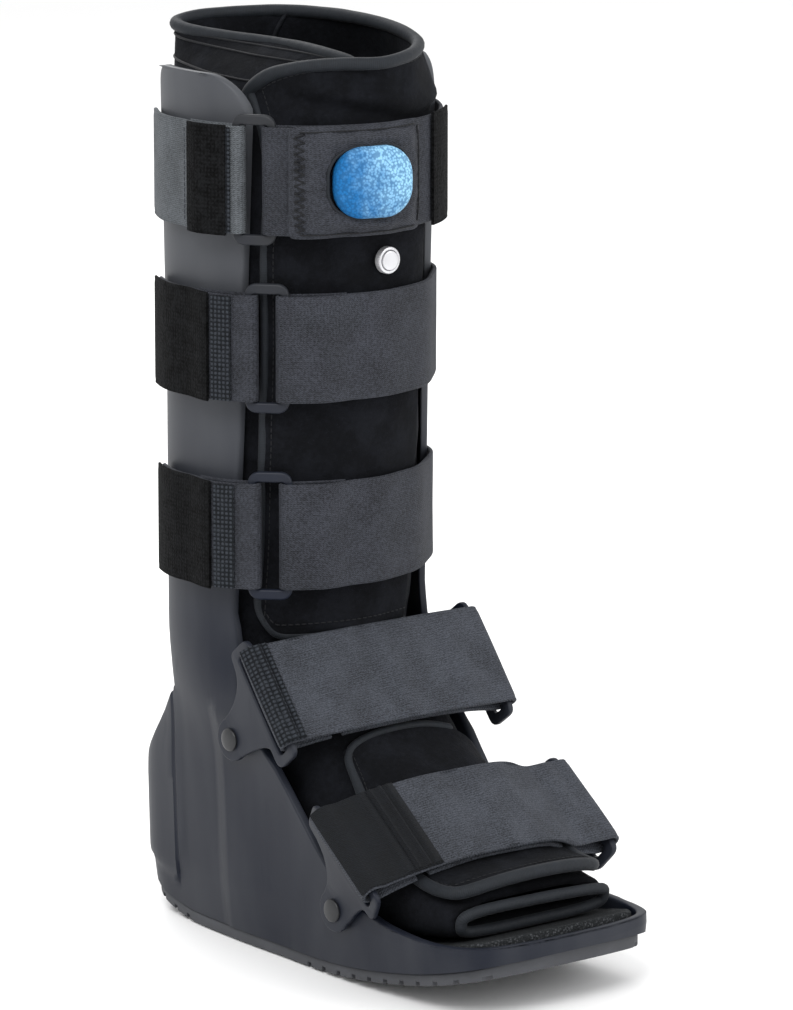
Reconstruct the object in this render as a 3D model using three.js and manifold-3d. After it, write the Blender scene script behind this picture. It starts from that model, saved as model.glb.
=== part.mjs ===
// A tall medical walking boot, in millimetres: +Z up, toe towards -Y, the wearer's right towards -X.
// The origin is on the floor, in the middle of the flat zone of the sole.
import * as THREE from "three";
import { mergeVertices } from "three/addons/utils/BufferGeometryUtils.js";
import Module from "manifold-3d";

const wasm = await Module();
wasm.setup();

// Driving dimensions: the sole and the foot shell
const FOOT_LENGTH = 287;
const HEEL_BACK = 105;
const BALL_HALF = 62;
const HEEL_HALF = 51;
const FLAT_BACK = 41;
const FLAT_FRONT = -36;
const HEEL_ROCKER_RADIUS = 130;
const TOE_ROCKER_RADIUS = 480;
const OUTSOLE_THICKNESS = 6;
const TREAD_DEPTH = 2;
const TREAD_WIDTH = 3;
const TREAD_PITCH = 12;
const SHELL_FLOOR = 5;
const SHELL_WALL = 4;
const TOE_RIM_RISE = 12.8;
const ANKLE_HEIGHT = 118;
const COUNTER_PEAK_HEIGHT = 115;
const COUNTER_BACK_HEIGHT = 77;
const COUNTER_STEP = 1.4;
const INSOLE_THICKNESS = 6.5;

// The uprights
const SHELL_TOP = 420;
const LEG_CENTRE = 25;
const UPRIGHT_HALF = 63;
const UPRIGHT_FLARE = 3;
const UPRIGHT_FRONT_DEPTH = 58;
const UPRIGHT_BACK_DEPTH = 58;
const UPRIGHT_FRONT_TOP = -9;
const UPRIGHT_FRONT_LOW = 3;
const UPRIGHT_BACK_EDGE = 54.5;
const UPRIGHT_FRONT_CORNER = 22;
const UPRIGHT_BACK_CORNER = 9;
const PLAN_FULLNESS = 2.3;

// The padded liner
const LINER_TOP = 424.5;
const RIM_TILT = 5.5;
const LINER_WALL = 7;
const FOOT_LINER_WALL = 5;
const LINER_FULLNESS = 2;
const LINER_BACK = 88;
const LINER_FRONT = 36;
const LINER_SPLIT_HEIGHT = 128;
const FOOT_LINER_SETBACK = 36;
const FOOT_LINER_HALF = 50;
const TOE_BOX_HEIGHT = 20;
const INSTEP_HEIGHT = 150;
const FLAP_THICKNESS = 3.5;
const FLAP_BOTTOM = 0.4;
const BINDING_RADIUS = 3.4;
const PIPING_RADIUS = 2.6;

// Straps, buckles and brackets
const STRAP_THICKNESS = 2.2;
const CALF_STRAP_WIDTH = 50.8;
const STRAP_BACK_TURN = 0.84;
const FOLD_LENGTH = 26;
const PATCH_THICKNESS = 1.6;
const BUCKLE_HEIGHT = 61.5;
const BUCKLE_WIDTH = 21;
const BUCKLE_BAR = 3.4;
const BRACKET_BAR = 5;
const BRACKET_SLOT = 7;
const BRACKET_THICKNESS = 3;
const BRACKET_LOBE = 10.5;
const RIVET_RADIUS = 5.5;
const RIVET_SHANK = 2.5;
const RIVET_HEAD = 2.2;
const BRACKET_BEND = RIVET_RADIUS + 0.5;

// The air pump and its release valve
const PUMP_WIDTH = 44;
const PUMP_HEIGHT = 34;
const PUMP_DEPTH = 11;
const PUMP_TURN = 0.458;
const POUCH_REACH = 0.072;
const POUCH_THICKNESS = 1.6;
const VALVE_RADIUS = 6.5;
const VALVE_THICKNESS = 3.4;
const VALVE_BUTTON_RADIUS = 4.6;
const VALVE_TRAVEL = 1.2;

// Clearance between pieces that touch on the real boot
const GAP = 0.3;

// Rounding and steps of the meshes
const PLAN_STEPS = 34;
const LEG_STEPS = 24;
const PATH_STEP = 8;
const RIM_STEP = 12;
const STRAP_STEPS = 72;

const toe = HEEL_BACK - FOOT_LENGTH;
const fore = (share) => HEEL_BACK - share * FOOT_LENGTH;
const mix = THREE.MathUtils.lerp;

// The underside of the sole at a place along the foot: flat in the middle, rockered to the heel and the toe.
function soleLine(y) {
  if (y > FLAT_BACK) return (y - FLAT_BACK) ** 2 / (2 * HEEL_ROCKER_RADIUS);
  if (y < FLAT_FRONT) return (y - FLAT_FRONT) ** 2 / (2 * TOE_ROCKER_RADIUS);
  return 0;
}

const toeRimHeight = soleLine(toe) + TOE_RIM_RISE;

// The half outline of the foot from the heel's back to the toe: across as a share of the half width there,
// ahead as a share of the length.
const FOOT_OUTLINE = [
  { across: 0, of: HEEL_HALF, ahead: 0 },
  { across: 0.52, of: HEEL_HALF, ahead: 0.012 },
  { across: 0.87, of: HEEL_HALF, ahead: 0.062 },
  { across: 1, of: HEEL_HALF, ahead: 0.16 },
  { across: 0.9, of: BALL_HALF, ahead: 0.32 },
  { across: 0.93, of: BALL_HALF, ahead: 0.48 },
  { across: 0.99, of: BALL_HALF, ahead: 0.66 },
  { across: 1, of: BALL_HALF, ahead: 0.8 },
  { across: 0.98, of: BALL_HALF, ahead: 0.91 },
  { across: 0.83, of: BALL_HALF, ahead: 0.972 },
  { across: 0.44, of: BALL_HALF, ahead: 0.996 },
  { across: 0, of: BALL_HALF, ahead: 1 },
];

// How the shell's plan changes upwards: drawn in by so many walls, and how far it has turned into the leg's plan.
const SHELL_LEVELS = [
  { height: -8, tuck: 1.8, leg: 0 },
  { height: 9, tuck: 1, leg: 0 },
  { height: 30, tuck: 0.4, leg: 0 },
  { height: COUNTER_BACK_HEIGHT, tuck: 0, leg: 0.06 },
  { height: mix(COUNTER_BACK_HEIGHT, ANKLE_HEIGHT, 0.5), tuck: 0, leg: 0.34 },
  { height: ANKLE_HEIGHT, tuck: 0, leg: 0.8 },
  { height: ANKLE_HEIGHT + 26, tuck: 0, leg: 1 },
  { height: mix(ANKLE_HEIGHT, SHELL_TOP, 0.5), tuck: 0, leg: 1 },
  { height: SHELL_TOP, tuck: 0, leg: 1 },
  { height: SHELL_TOP + 20, tuck: 0, leg: 1 },
];

// The rim of the foot shell from the toe to the ankle: ahead as a share of the length, and the rise as a share
// of the way from the toe rim to the ankle.
const SHELL_RIM = [
  { ahead: 1.02, rise: 0.012 },
  { ahead: 0.93, rise: -0.012 },
  { ahead: 0.84, rise: -0.012 },
  { ahead: 0.76, rise: 0.015 },
  { ahead: 0.69, rise: 0.085 },
  { ahead: 0.64, rise: 0.175 },
  { ahead: 0.585, rise: 0.33 },
  { ahead: 0.53, rise: 0.52 },
  { ahead: 0.483, rise: 0.71 },
];

// The liner's leg: front and back as shares of the depths before and behind the leg's centre.
const LINER_LEVELS = [
  { up: 0.1, half: 0.9, front: 1.0, back: 1.05 },
  { up: 0.28, half: 0.94, front: 0.92, back: 1.0 },
  { up: 0.34, half: 0.97, front: 0.73, back: 0.96 },
  { up: 0.4, half: 1, front: 0.8, back: 0.94 },
  { up: 0.46, half: 1, front: 0.855, back: 0.94 },
  { up: 0.58, half: 1, front: 0.92, back: 0.98 },
  { up: 0.69, half: 1, front: 0.975, back: 1.0 },
  { up: 0.79, half: 1, front: 1.0, back: 1.02 },
  { up: 0.87, half: 0.98, front: 1.06, back: 1.03 },
  { up: 0.935, half: 0.98, front: 1.07, back: 1.02 },
  { up: 0.975, half: 0.99, front: 1.06, back: 1.0 },
  { up: 1, half: 1.02, front: 1.0, back: 1.0 },
];

// The liner's foot, from the heel forward: half width and top as shares of the foot liner's half width and of
// the instep's height over the insole.
const FOOT_LINER_STATIONS = [
  { ahead: 0.022, half: 0.4, top: 0.3, lift: 0.12 },
  { ahead: 0.055, half: 0.76, top: 0.58, lift: 0.03 },
  { ahead: 0.13, half: 0.9, top: 0.8, lift: 0 },
  { ahead: 0.38, half: 0.97, top: 0.95, lift: 0 },
  { ahead: 0.45, half: 0.98, top: 0.94, lift: 0 },
  { ahead: 0.505, half: 0.98, top: 0.78, lift: 0 },
  { ahead: 0.56, half: 0.98, top: 0.62, lift: 0 },
  { ahead: 0.64, half: 1, top: 0.5, lift: 0 },
  { ahead: 0.73, half: 1, top: 0.36, lift: 0 },
  { ahead: 0.81, half: 0.97, top: 0.213, lift: 0 },
];

// Places in the side view, up as a share of the ankle's height: at the ankle, ahead of the upright's front edge
// in the same shares, and at the toes, ahead as a share of the foot's length.
const atAnkle = (ahead, up) => new THREE.Vector2(UPRIGHT_FRONT_LOW - ahead * ANKLE_HEIGHT, up * ANKLE_HEIGHT);
const atToes = (ahead, up) => new THREE.Vector2(fore(ahead), up * ANKLE_HEIGHT);

// Two brackets on each side, in the side view: the two ends of the loop, its rivet, how far out the loop lies,
// and how far the strap rises over the foot between them.
const BRACKETS = [
  {
    name: "ankle",
    upper: atAnkle(0.1305, 1.278),
    lower: atAnkle(0.4525, 0.8635),
    rivet: atAnkle(0.0754, 0.884),
    out: 1.065 * BALL_HALF,
    bulge: 0.033 * BALL_HALF,
  },
  {
    name: "toe",
    upper: atToes(0.6206, 0.7),
    lower: atToes(0.7868, 0.3847),
    rivet: atToes(0.6502, 0.3102),
    out: 1.161 * BALL_HALF,
    bulge: 0.161 * BALL_HALF,
  },
];

// The three calf straps: the height of the middle, and the turns at which the tab ends, the patch lies and the
// buckle stands.
const CALF_STRAPS = [
  { name: "top", height: 0.887 * SHELL_TOP, tabTurn: 0.165, patch: [0.275, 0.322], buckleTurn: 0.348 },
  { name: "middle", height: 0.6976 * SHELL_TOP, tabTurn: 0.183, patch: [0.183, 0.3], buckleTurn: 0.36 },
  { name: "lower", height: 0.4833 * SHELL_TOP, tabTurn: 0.187, patch: [0.187, 0.3], buckleTurn: 0.36 },
];

const charcoal = { color: 0x4a4c50, roughness: 0.55, metalness: 0 };
const rubber = { color: 0x45474d, roughness: 0.75, metalness: 0 };
const felt = { color: 0x323233, roughness: 1, metalness: 0 };
const piping = { color: 0x2f3538, roughness: 0.6, metalness: 0 };
const hook = { color: 0x1e1f20, roughness: 1, metalness: 0 };
const rivetSteel = { color: 0x4a4c50, roughness: 0.4, metalness: 0.3 };
const valveSilver = { color: 0xcbcbcf, roughness: 0.35, metalness: 0.4 };
const webbing = { color: 0x42454d, roughness: 0.9, metalness: 0 };
const plush = { color: 0x191b1f, roughness: 1, metalness: 0 };

// A closed mesh as a solid, and a solid as a mesh's geometry.
function solid(geometry) {
  const bare = geometry.clone();
  bare.deleteAttribute("normal");
  bare.deleteAttribute("uv");
  const merged = mergeVertices(bare, 1e-4);
  const made = new wasm.Manifold(
    new wasm.Mesh({
      numProp: 3,
      vertProperties: new Float32Array(merged.attributes.position.array),
      triVerts: new Uint32Array(merged.index.array),
    }),
  );
  return made;
}

function geometryOf(made) {
  const mesh = made.getMesh();
  const geometry = new THREE.BufferGeometry();
  geometry.setAttribute("position", new THREE.BufferAttribute(mesh.vertProperties, 3));
  geometry.setIndex(new THREE.BufferAttribute(mesh.triVerts, 1));
  geometry.computeVertexNormals();
  return geometry;
}

// Turns a closed mesh's faces outwards.
function facingOut(geometry) {
  const p = geometry.attributes.position;
  const index = geometry.index.array;
  const [a, b, c] = [new THREE.Vector3(), new THREE.Vector3(), new THREE.Vector3()];
  let volume = 0;
  for (let i = 0; i < index.length; i += 3) {
    a.fromBufferAttribute(p, index[i]);
    b.fromBufferAttribute(p, index[i + 1]);
    c.fromBufferAttribute(p, index[i + 2]);
    volume += a.dot(b.cross(c));
  }
  if (volume < 0)
    for (let i = 0; i < index.length; i += 3) {
      [index[i + 1], index[i + 2]] = [index[i + 2], index[i + 1]];
    }
  geometry.computeVertexNormals();
  return geometry;
}

function meshOf(points, faces) {
  const geometry = new THREE.BufferGeometry().setFromPoints(points);
  geometry.setIndex(faces.flat());
  return facingOut(geometry);
}

// A closed solid through rings of as many points each, its first and last ring closed by a fan.
function loft(rings) {
  const count = rings[0].length;
  const points = rings.flat();
  const faces = [];
  for (let r = 0; r + 1 < rings.length; r++)
    for (let i = 0; i < count; i++) {
      const [a, b] = [r * count + i, r * count + ((i + 1) % count)];
      faces.push([a, b, b + count], [a, b + count, a + count]);
    }
  for (const [first, turn] of [[0, true], [(rings.length - 1) * count, false]]) {
    const middle = new THREE.Vector3();
    for (let i = 0; i < count; i++) middle.addScaledVector(points[first + i], 1 / count);
    points.push(middle);
    const hub = points.length - 1;
    for (let i = 0; i < count; i++) {
      const [a, b] = [first + i, first + ((i + 1) % count)];
      faces.push(turn ? [hub, b, a] : [hub, a, b]);
    }
  }
  return meshOf(points, faces);
}

// A sheet of even thickness: place(u, v, depth) gives a point, with depth 0 on one face and 1 on the other.
function sheet(place, stepsU, stepsV) {
  const points = [];
  const row = stepsU + 1;
  const layer = row * (stepsV + 1);
  for (const depth of [0, 1])
    for (let j = 0; j <= stepsV; j++)
      for (let i = 0; i <= stepsU; i++) points.push(place(i / stepsU, j / stepsV, depth));
  const faces = [];
  const quad = (a, b, c, d) => faces.push([a, b, c], [a, c, d]);
  for (let j = 0; j < stepsV; j++)
    for (let i = 0; i < stepsU; i++) {
      const a = j * row + i;
      quad(a, a + 1, a + row + 1, a + row);
      quad(layer + a, layer + a + row, layer + a + row + 1, layer + a + 1);
    }
  for (let i = 0; i < stepsU; i++) {
    quad(i, layer + i, layer + i + 1, i + 1);
    const b = stepsV * row + i;
    quad(b, b + 1, layer + b + 1, layer + b);
  }
  for (let j = 0; j < stepsV; j++) {
    const a = j * row;
    quad(a, a + row, layer + a + row, layer + a);
    const b = a + stepsU;
    quad(b, layer + b, layer + b + row, b + row);
  }
  return meshOf(points, faces);
}

// A block of everything inside a side-view outline, given as points of y and z, across the whole boot.
function acrossBoot(outline, half = 2 * BALL_HALF) {
  const shape = new THREE.Shape(outline.map(([y, z]) => new THREE.Vector2(y, z)));
  const block = new THREE.ExtrudeGeometry(shape, { depth: 2 * half, bevelEnabled: false });
  block.applyMatrix4(
    new THREE.Matrix4().makeBasis(
      new THREE.Vector3(0, 1, 0),
      new THREE.Vector3(0, 0, 1),
      new THREE.Vector3(1, 0, 0),
    ),
  );
  return solid(block.translate(-half, 0, 0));
}

// The sole's line raised by a rise, from back to front, with no points inside its flat zone.
function soleOffset(rise, from = HEEL_BACK + 10, to = toe - 10) {
  const bends = [];
  for (let i = 0; i <= 5; i++) bends.push(mix(HEEL_BACK + 10, FLAT_BACK, i / 5));
  for (let i = 0; i <= 8; i++) bends.push(mix(FLAT_FRONT, toe - 10, i / 8));
  const between = bends.filter((y) => y < from - 1 && y > to + 1);
  return [from, ...between, to].map((y) => [y, soleLine(y) + rise]);
}

// A smooth line through chosen points, as a list of points about a step apart.
function smooth(points, step) {
  const curve = new THREE.CatmullRomCurve3(
    points.map(([x, y]) => new THREE.Vector3(x, y, 0)),
    false,
    "centripetal",
  );
  const count = Math.max(4, Math.round(curve.getLength() / step));
  return curve.getSpacedPoints(count).map((p) => [p.x, p.y]);
}

const halfFoot = new THREE.CatmullRomCurve3(
  FOOT_OUTLINE.map((row) => new THREE.Vector3(-row.across * row.of, fore(row.ahead), 0)),
  false,
  "centripetal",
);

// One point of the leg's plan at a turn from the back over the right side: a rounded oval round the centre.
function ovalPoint(turn, half, front, back, fullness = PLAN_FULLNESS) {
  const [s, c] = [Math.sin(turn), Math.cos(turn)];
  const bend = (v) => Math.sign(v) * Math.abs(v) ** (2 / fullness);
  return [-half * bend(s), LEG_CENTRE + bend(c) * (c > 0 ? back : front)];
}

// Half the width over the uprights: they flare above the middle of the leg.
function uprightHalf(z) {
  const low = mix(ANKLE_HEIGHT, SHELL_TOP, 0.5);
  return UPRIGHT_HALF + UPRIGHT_FLARE * THREE.MathUtils.clamp((z - low) / (SHELL_TOP - low), 0, 1);
}

// The shell's plan at a level, drawn in by an inset.
function shellPlan(level, inset) {
  const ring = [];
  for (let i = 0; i < PLAN_STEPS; i++) {
    const share = i / PLAN_STEPS;
    const near = share <= 0.5 ? share * 2 : 2 - share * 2;
    const side = share <= 0.5 ? 1 : -1;
    const f = halfFoot.getPoint(near);
    const shrink = inset + level.tuck * SHELL_WALL;
    const foot = [
      f.x * side * (1 - shrink / BALL_HALF),
      mix(f.y, fore(0.5), shrink / (FOOT_LENGTH / 2)),
    ];
    const leg = ovalPoint(
      share * 2 * Math.PI,
      uprightHalf(level.height) - inset,
      UPRIGHT_FRONT_DEPTH - inset,
      UPRIGHT_BACK_DEPTH - inset,
    );
    ring.push(
      new THREE.Vector3(mix(foot[0], leg[0], level.leg), mix(foot[1], leg[1], level.leg), level.height),
    );
  }
  return ring;
}

const shellBody = (inset) => solid(loft(SHELL_LEVELS.map((level) => shellPlan(level, inset))));

// The front edge of an upright: leaning forward a little as it rises.
function frontEdge(z) {
  return mix(UPRIGHT_FRONT_LOW, UPRIGHT_FRONT_TOP, (z - ANKLE_HEIGHT) / (SHELL_TOP - ANKLE_HEIGHT));
}

function corner(y, z, radius, from, to) {
  const points = [];
  for (let i = 0; i <= 4; i++) {
    const a = mix(from, to, i / 4);
    points.push([y + radius * Math.cos(a), z + radius * Math.sin(a)]);
  }
  return points;
}

const shellRim = smooth([
  ...SHELL_RIM.map((row) => [fore(row.ahead), mix(toeRimHeight, ANKLE_HEIGHT, row.rise)]),
  [frontEdge(ANKLE_HEIGHT) - 12, ANKLE_HEIGHT + 2],
  [frontEdge(ANKLE_HEIGHT + 45), ANKLE_HEIGHT + 45],
], RIM_STEP);

// The whole side view of the shell: the sole's line, the rim, one upright and the heel counter.
const counterPeak = UPRIGHT_BACK_EDGE + 5;
const counterFoot = mix(counterPeak, HEEL_BACK, 0.6);
const sideView = [
  ...soleOffset(OUTSOLE_THICKNESS + GAP),
  ...shellRim,
  [frontEdge(SHELL_TOP - UPRIGHT_FRONT_CORNER), SHELL_TOP - UPRIGHT_FRONT_CORNER],
  ...corner(
    UPRIGHT_FRONT_TOP + UPRIGHT_FRONT_CORNER,
    SHELL_TOP - UPRIGHT_FRONT_CORNER,
    UPRIGHT_FRONT_CORNER,
    Math.PI * 0.9,
    Math.PI / 2,
  ),
  ...corner(
    UPRIGHT_BACK_EDGE - UPRIGHT_BACK_CORNER,
    SHELL_TOP - UPRIGHT_BACK_CORNER,
    UPRIGHT_BACK_CORNER,
    Math.PI / 2,
    0,
  ),
  [UPRIGHT_BACK_EDGE, COUNTER_PEAK_HEIGHT + 4],
  [counterPeak - 3, COUNTER_PEAK_HEIGHT],
  [counterPeak, COUNTER_PEAK_HEIGHT - 2],
  [counterFoot, COUNTER_BACK_HEIGHT + 2],
  [HEEL_BACK + 10, COUNTER_BACK_HEIGHT],
];

// The raised fields of the shell: the heel counter and the front of the foot.
const counterField = [
  ...soleOffset(OUTSOLE_THICKNESS + GAP + 14, HEEL_BACK + 10, counterPeak - 2),
  [counterPeak - 2, COUNTER_PEAK_HEIGHT * 0.2],
  [counterPeak - 3, COUNTER_PEAK_HEIGHT],
  [counterPeak, COUNTER_PEAK_HEIGHT - 2],
  [counterFoot, COUNTER_BACK_HEIGHT + 2],
  [HEEL_BACK + 10, COUNTER_BACK_HEIGHT],
];
const panelFront = mix(UPRIGHT_FRONT_LOW, UPRIGHT_BACK_EDGE, 0.22);
const fieldFront = fore(0.86);

function buildShell() {
  const hollow = shellBody(SHELL_WALL).intersect(
    acrossBoot([
      ...soleOffset(OUTSOLE_THICKNESS + GAP + SHELL_FLOOR),
      [toe - 10, SHELL_TOP + 10],
      [HEEL_BACK + 10, SHELL_TOP + 10],
    ]),
  );
  const counter = shellBody(-COUNTER_STEP).intersect(acrossBoot(counterField));
  const frontField = shellBody(-COUNTER_STEP / 2).intersect(
    acrossBoot([
      ...soleOffset(OUTSOLE_THICKNESS + GAP + 1, panelFront, fieldFront),
      ...shellRim.filter(([y, z]) => y > fieldFront && z < ANKLE_HEIGHT - 3),
      [panelFront, ANKLE_HEIGHT - 3],
    ]),
  );
  const outside = shellBody(0).intersect(acrossBoot(sideView)).add(counter).add(frontField);
  return geometryOf(outside.subtract(hollow));
}

// The rubber outsole, with grooves across its heel and forefoot.
function buildOutsole() {
  const slab = [
    ...soleOffset(0),
    ...soleOffset(OUTSOLE_THICKNESS).reverse(),
  ];
  let sole = shellBody(0).intersect(acrossBoot(slab));
  const zones = [
    [FLAT_BACK + TREAD_PITCH, HEEL_BACK - TREAD_PITCH],
    [toe + TREAD_PITCH, FLAT_FRONT - TREAD_PITCH],
  ];
  for (const [from, to] of zones)
    for (let y = from; y <= to; y += TREAD_PITCH) {
      const groove = new THREE.BoxGeometry(4 * BALL_HALF, TREAD_WIDTH, 2 * TREAD_DEPTH);
      sole = sole.subtract(solid(groove.translate(0, y, soleLine(y))));
    }
  return geometryOf(sole);
}

// The insole pad fills the tray between its walls.
function buildInsole() {
  const floor = OUTSOLE_THICKNESS + GAP + SHELL_FLOOR + GAP;
  const slab = [
    ...soleOffset(floor),
    ...soleOffset(floor + INSOLE_THICKNESS).reverse(),
  ];
  return geometryOf(shellBody(SHELL_WALL + GAP).intersect(acrossBoot(slab)));
}

const insoleTop = OUTSOLE_THICKNESS + SHELL_FLOOR + INSOLE_THICKNESS + 2 * GAP;

// A point of the liner's leg at a row of its table: a turn from the back over the right side, and so far out.
function legPoint(row, turn, out, height = row.up * LINER_TOP) {
  const room = uprightHalf(row.up * LINER_TOP) - SHELL_WALL - 2 * GAP;
  const [x, y] = ovalPoint(
    turn * 2 * Math.PI,
    room * row.half + out,
    (LINER_FRONT + LEG_CENTRE) * row.front + out,
    (LINER_BACK - LEG_CENTRE) * row.back + out,
    LINER_FULLNESS,
  );
  const tilt = RIM_TILT * Math.max(0, (row.up - 0.9) / 0.1) * Math.cos(turn * 2 * Math.PI);
  return new THREE.Vector3(x, y, height + tilt);
}

function legRing(row, out, height) {
  const ring = [];
  for (let i = 0; i < LEG_STEPS; i++) ring.push(legPoint(row, i / LEG_STEPS, out, height));
  return ring;
}

// The row of the liner's table at a height, between two of its rows.
function legRow(z) {
  const up = THREE.MathUtils.clamp(z / LINER_TOP, LINER_LEVELS[0].up, 1);
  const next = Math.max(1, LINER_LEVELS.findIndex((row) => row.up >= up));
  const [low, high] = [LINER_LEVELS[next - 1], LINER_LEVELS[next]];
  const share = (up - low.up) / (high.up - low.up);
  const between = (key) => mix(low[key], high[key], share);
  return { up, half: between("half"), front: between("front"), back: between("back") };
}

// A point of the liner's foot at a station, at an angle from the left side over the top, and so far out.
function footPoint(row, angle, out) {
  const y = fore(row.ahead);
  const room = INSTEP_HEIGHT - insoleTop;
  const low = soleLine(y) + insoleTop + GAP + row.lift * INSTEP_HEIGHT - out;
  const high = soleLine(y) + insoleTop + row.top * room + out;
  const fullness = Math.sin(angle) < 0 ? 4 : 2.6;
  const bend = (v) => Math.sign(v) * Math.abs(v) ** (2 / fullness);
  return new THREE.Vector3(
    (row.half * FOOT_LINER_HALF + out) * bend(Math.cos(angle)),
    y,
    mix(low, high, 0.5 + 0.5 * bend(Math.sin(angle))),
  );
}

function footRing(row, out) {
  const ring = [];
  for (let i = 0; i < LEG_STEPS; i++) ring.push(footPoint(row, (i / LEG_STEPS) * 2 * Math.PI, out));
  return ring;
}

// The open toe end of the liner's foot.
const TOE_END = {
  ahead: 1 - FOOT_LINER_SETBACK / FOOT_LENGTH,
  half: 0.93,
  top: TOE_BOX_HEIGHT / (INSTEP_HEIGHT - insoleTop),
  lift: 0,
};

// The liner's outside, or its hollow, which runs out at the top and at the toe.
function linerBody(hollow) {
  const [legOut, footOut] = hollow ? [-LINER_WALL, -FOOT_LINER_WALL] : [0, 0];
  const leg = LINER_LEVELS.map((row) => legRing(row, legOut));
  if (hollow) leg.push(legRing(LINER_LEVELS.at(-1), legOut, LINER_TOP + 10));
  const stations = FOOT_LINER_STATIONS.filter((row) => !hollow || row.half > 0.8);
  const foot = [...stations, TOE_END].map((row) => footRing(row, footOut));
  if (hollow) foot.push(footRing({ ...TOE_END, ahead: TOE_END.ahead + 0.05 }, footOut));
  return solid(loft(leg)).add(solid(loft(foot)));
}

const liner = linerBody(false).subtract(linerBody(true));
const FAR = 4 * FOOT_LENGTH;

function between(low, high) {
  return acrossBoot([
    [-FAR, low],
    [FAR, low],
    [FAR, high],
    [-FAR, high],
  ]);
}

const buildLinerLeg = () => geometryOf(liner.intersect(between(LINER_SPLIT_HEIGHT + GAP / 2, FAR)));
const buildLinerFoot = () =>
  geometryOf(
    liner
      .intersect(between(-FAR, LINER_SPLIT_HEIGHT - GAP / 2))
      .intersect(shellBody(SHELL_WALL + GAP)),
  );

// A round tube along a line of points, closed on itself where the line is a loop.
function tube(line, radius, closed, sides = 6) {
  const count = line.length;
  const rings = line.map((at, i) => {
    const ahead = line[closed ? (i + 1) % count : Math.min(i + 1, count - 1)];
    const behind = line[closed ? (i + count - 1) % count : Math.max(i - 1, 0)];
    const along = ahead.clone().sub(behind).normalize();
    const across = new THREE.Vector3(0, 0, 1).cross(along);
    if (across.lengthSq() < 0.1) across.set(1, 0, 0).cross(along);
    across.normalize();
    const third = along.clone().cross(across);
    return Array.from({ length: sides }, (_, k) => {
      const a = (k / sides) * 2 * Math.PI;
      return at
        .clone()
        .addScaledVector(across, radius * Math.cos(a))
        .addScaledVector(third, radius * Math.sin(a));
    });
  });
  if (!closed) return loft(rings);
  const faces = [];
  for (let r = 0; r < count; r++)
    for (let i = 0; i < sides; i++) {
      const [a, b] = [r * sides + i, r * sides + ((i + 1) % sides)];
      const [c, d] = [((r + 1) % count) * sides + i, ((r + 1) % count) * sides + ((i + 1) % sides)];
      faces.push([a, b, d], [a, d, c]);
    }
  return meshOf(rings.flat(), faces);
}

// The rolled binding on the liner's rim.
function buildRimBinding() {
  const top = LINER_LEVELS.at(-1);
  const line = legRing(top, -LINER_WALL / 2).map((p) => p.setZ(p.z + BINDING_RADIUS + 3 * GAP));
  return tube(line, BINDING_RADIUS, true);
}

// The outer flap of the liner, laid over its front from the left to the right front corner.
const FLAP_TURNS = { from: 0.352, to: 0.575, top: 0.64 };
const flapEnd = (z) =>
  mix(FLAP_TURNS.to, FLAP_TURNS.top, THREE.MathUtils.smoothstep(z / LINER_TOP, 0.79, 1));
const flapInner = 2.5 * GAP;
const flapRows = [
  legRow(FLAP_BOTTOM * LINER_TOP),
  ...LINER_LEVELS.filter((row) => row.up > FLAP_BOTTOM + 0.02),
];

function buildFrontFlap() {
  const rows = flapRows.length - 1;
  return sheet(
    (u, v, depth) => {
      const row = flapRows[Math.round(v * rows)];
      const turn = mix(FLAP_TURNS.from, flapEnd(row.up * LINER_TOP), u);
      return legPoint(row, turn, flapInner + depth * FLAP_THICKNESS);
    },
    10,
    rows,
  );
}

// The vamp flap over the instep and the toes.
const vampRows = [...FOOT_LINER_STATIONS.slice(-5), TOE_END];

function buildVampFlap() {
  const rows = vampRows.length - 1;
  return sheet(
    (u, v, depth) => {
      const angle = THREE.MathUtils.degToRad(mix(34, 146, u));
      return footPoint(vampRows[Math.round(v * rows)], angle, flapInner + depth * FLAP_THICKNESS);
    },
    10,
    rows,
  );
}

// The piping round the open toe end.
function buildToePiping() {
  const line = footRing(TOE_END, -PIPING_RADIUS - 3 * GAP).map((p) => p.setY(p.y - PIPING_RADIUS - GAP));
  return tube(line, PIPING_RADIUS, true);
}

// A strap seen end on: a band of even thickness along a line of points, as a shape.
function band(line, thickness) {
  const side = (sign) =>
    line.map((p, i) => {
      const a = line[Math.max(i - 1, 0)];
      const b = line[Math.min(i + 1, line.length - 1)];
      const along = b.clone().sub(a).normalize();
      return new THREE.Vector2(
        p.x - along.y * sign * thickness * 0.5,
        p.y + along.x * sign * thickness * 0.5,
      );
    });
  return new THREE.Shape([...side(1), ...side(-1).reverse()]);
}

// A band that stands upright in plan, at a height.
function uprightBand(line, thickness, width, height) {
  const geometry = new THREE.ExtrudeGeometry(band(line, thickness), {
    depth: width,
    bevelEnabled: false,
  });
  return geometry.translate(0, 0, height - width / 2);
}

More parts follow.
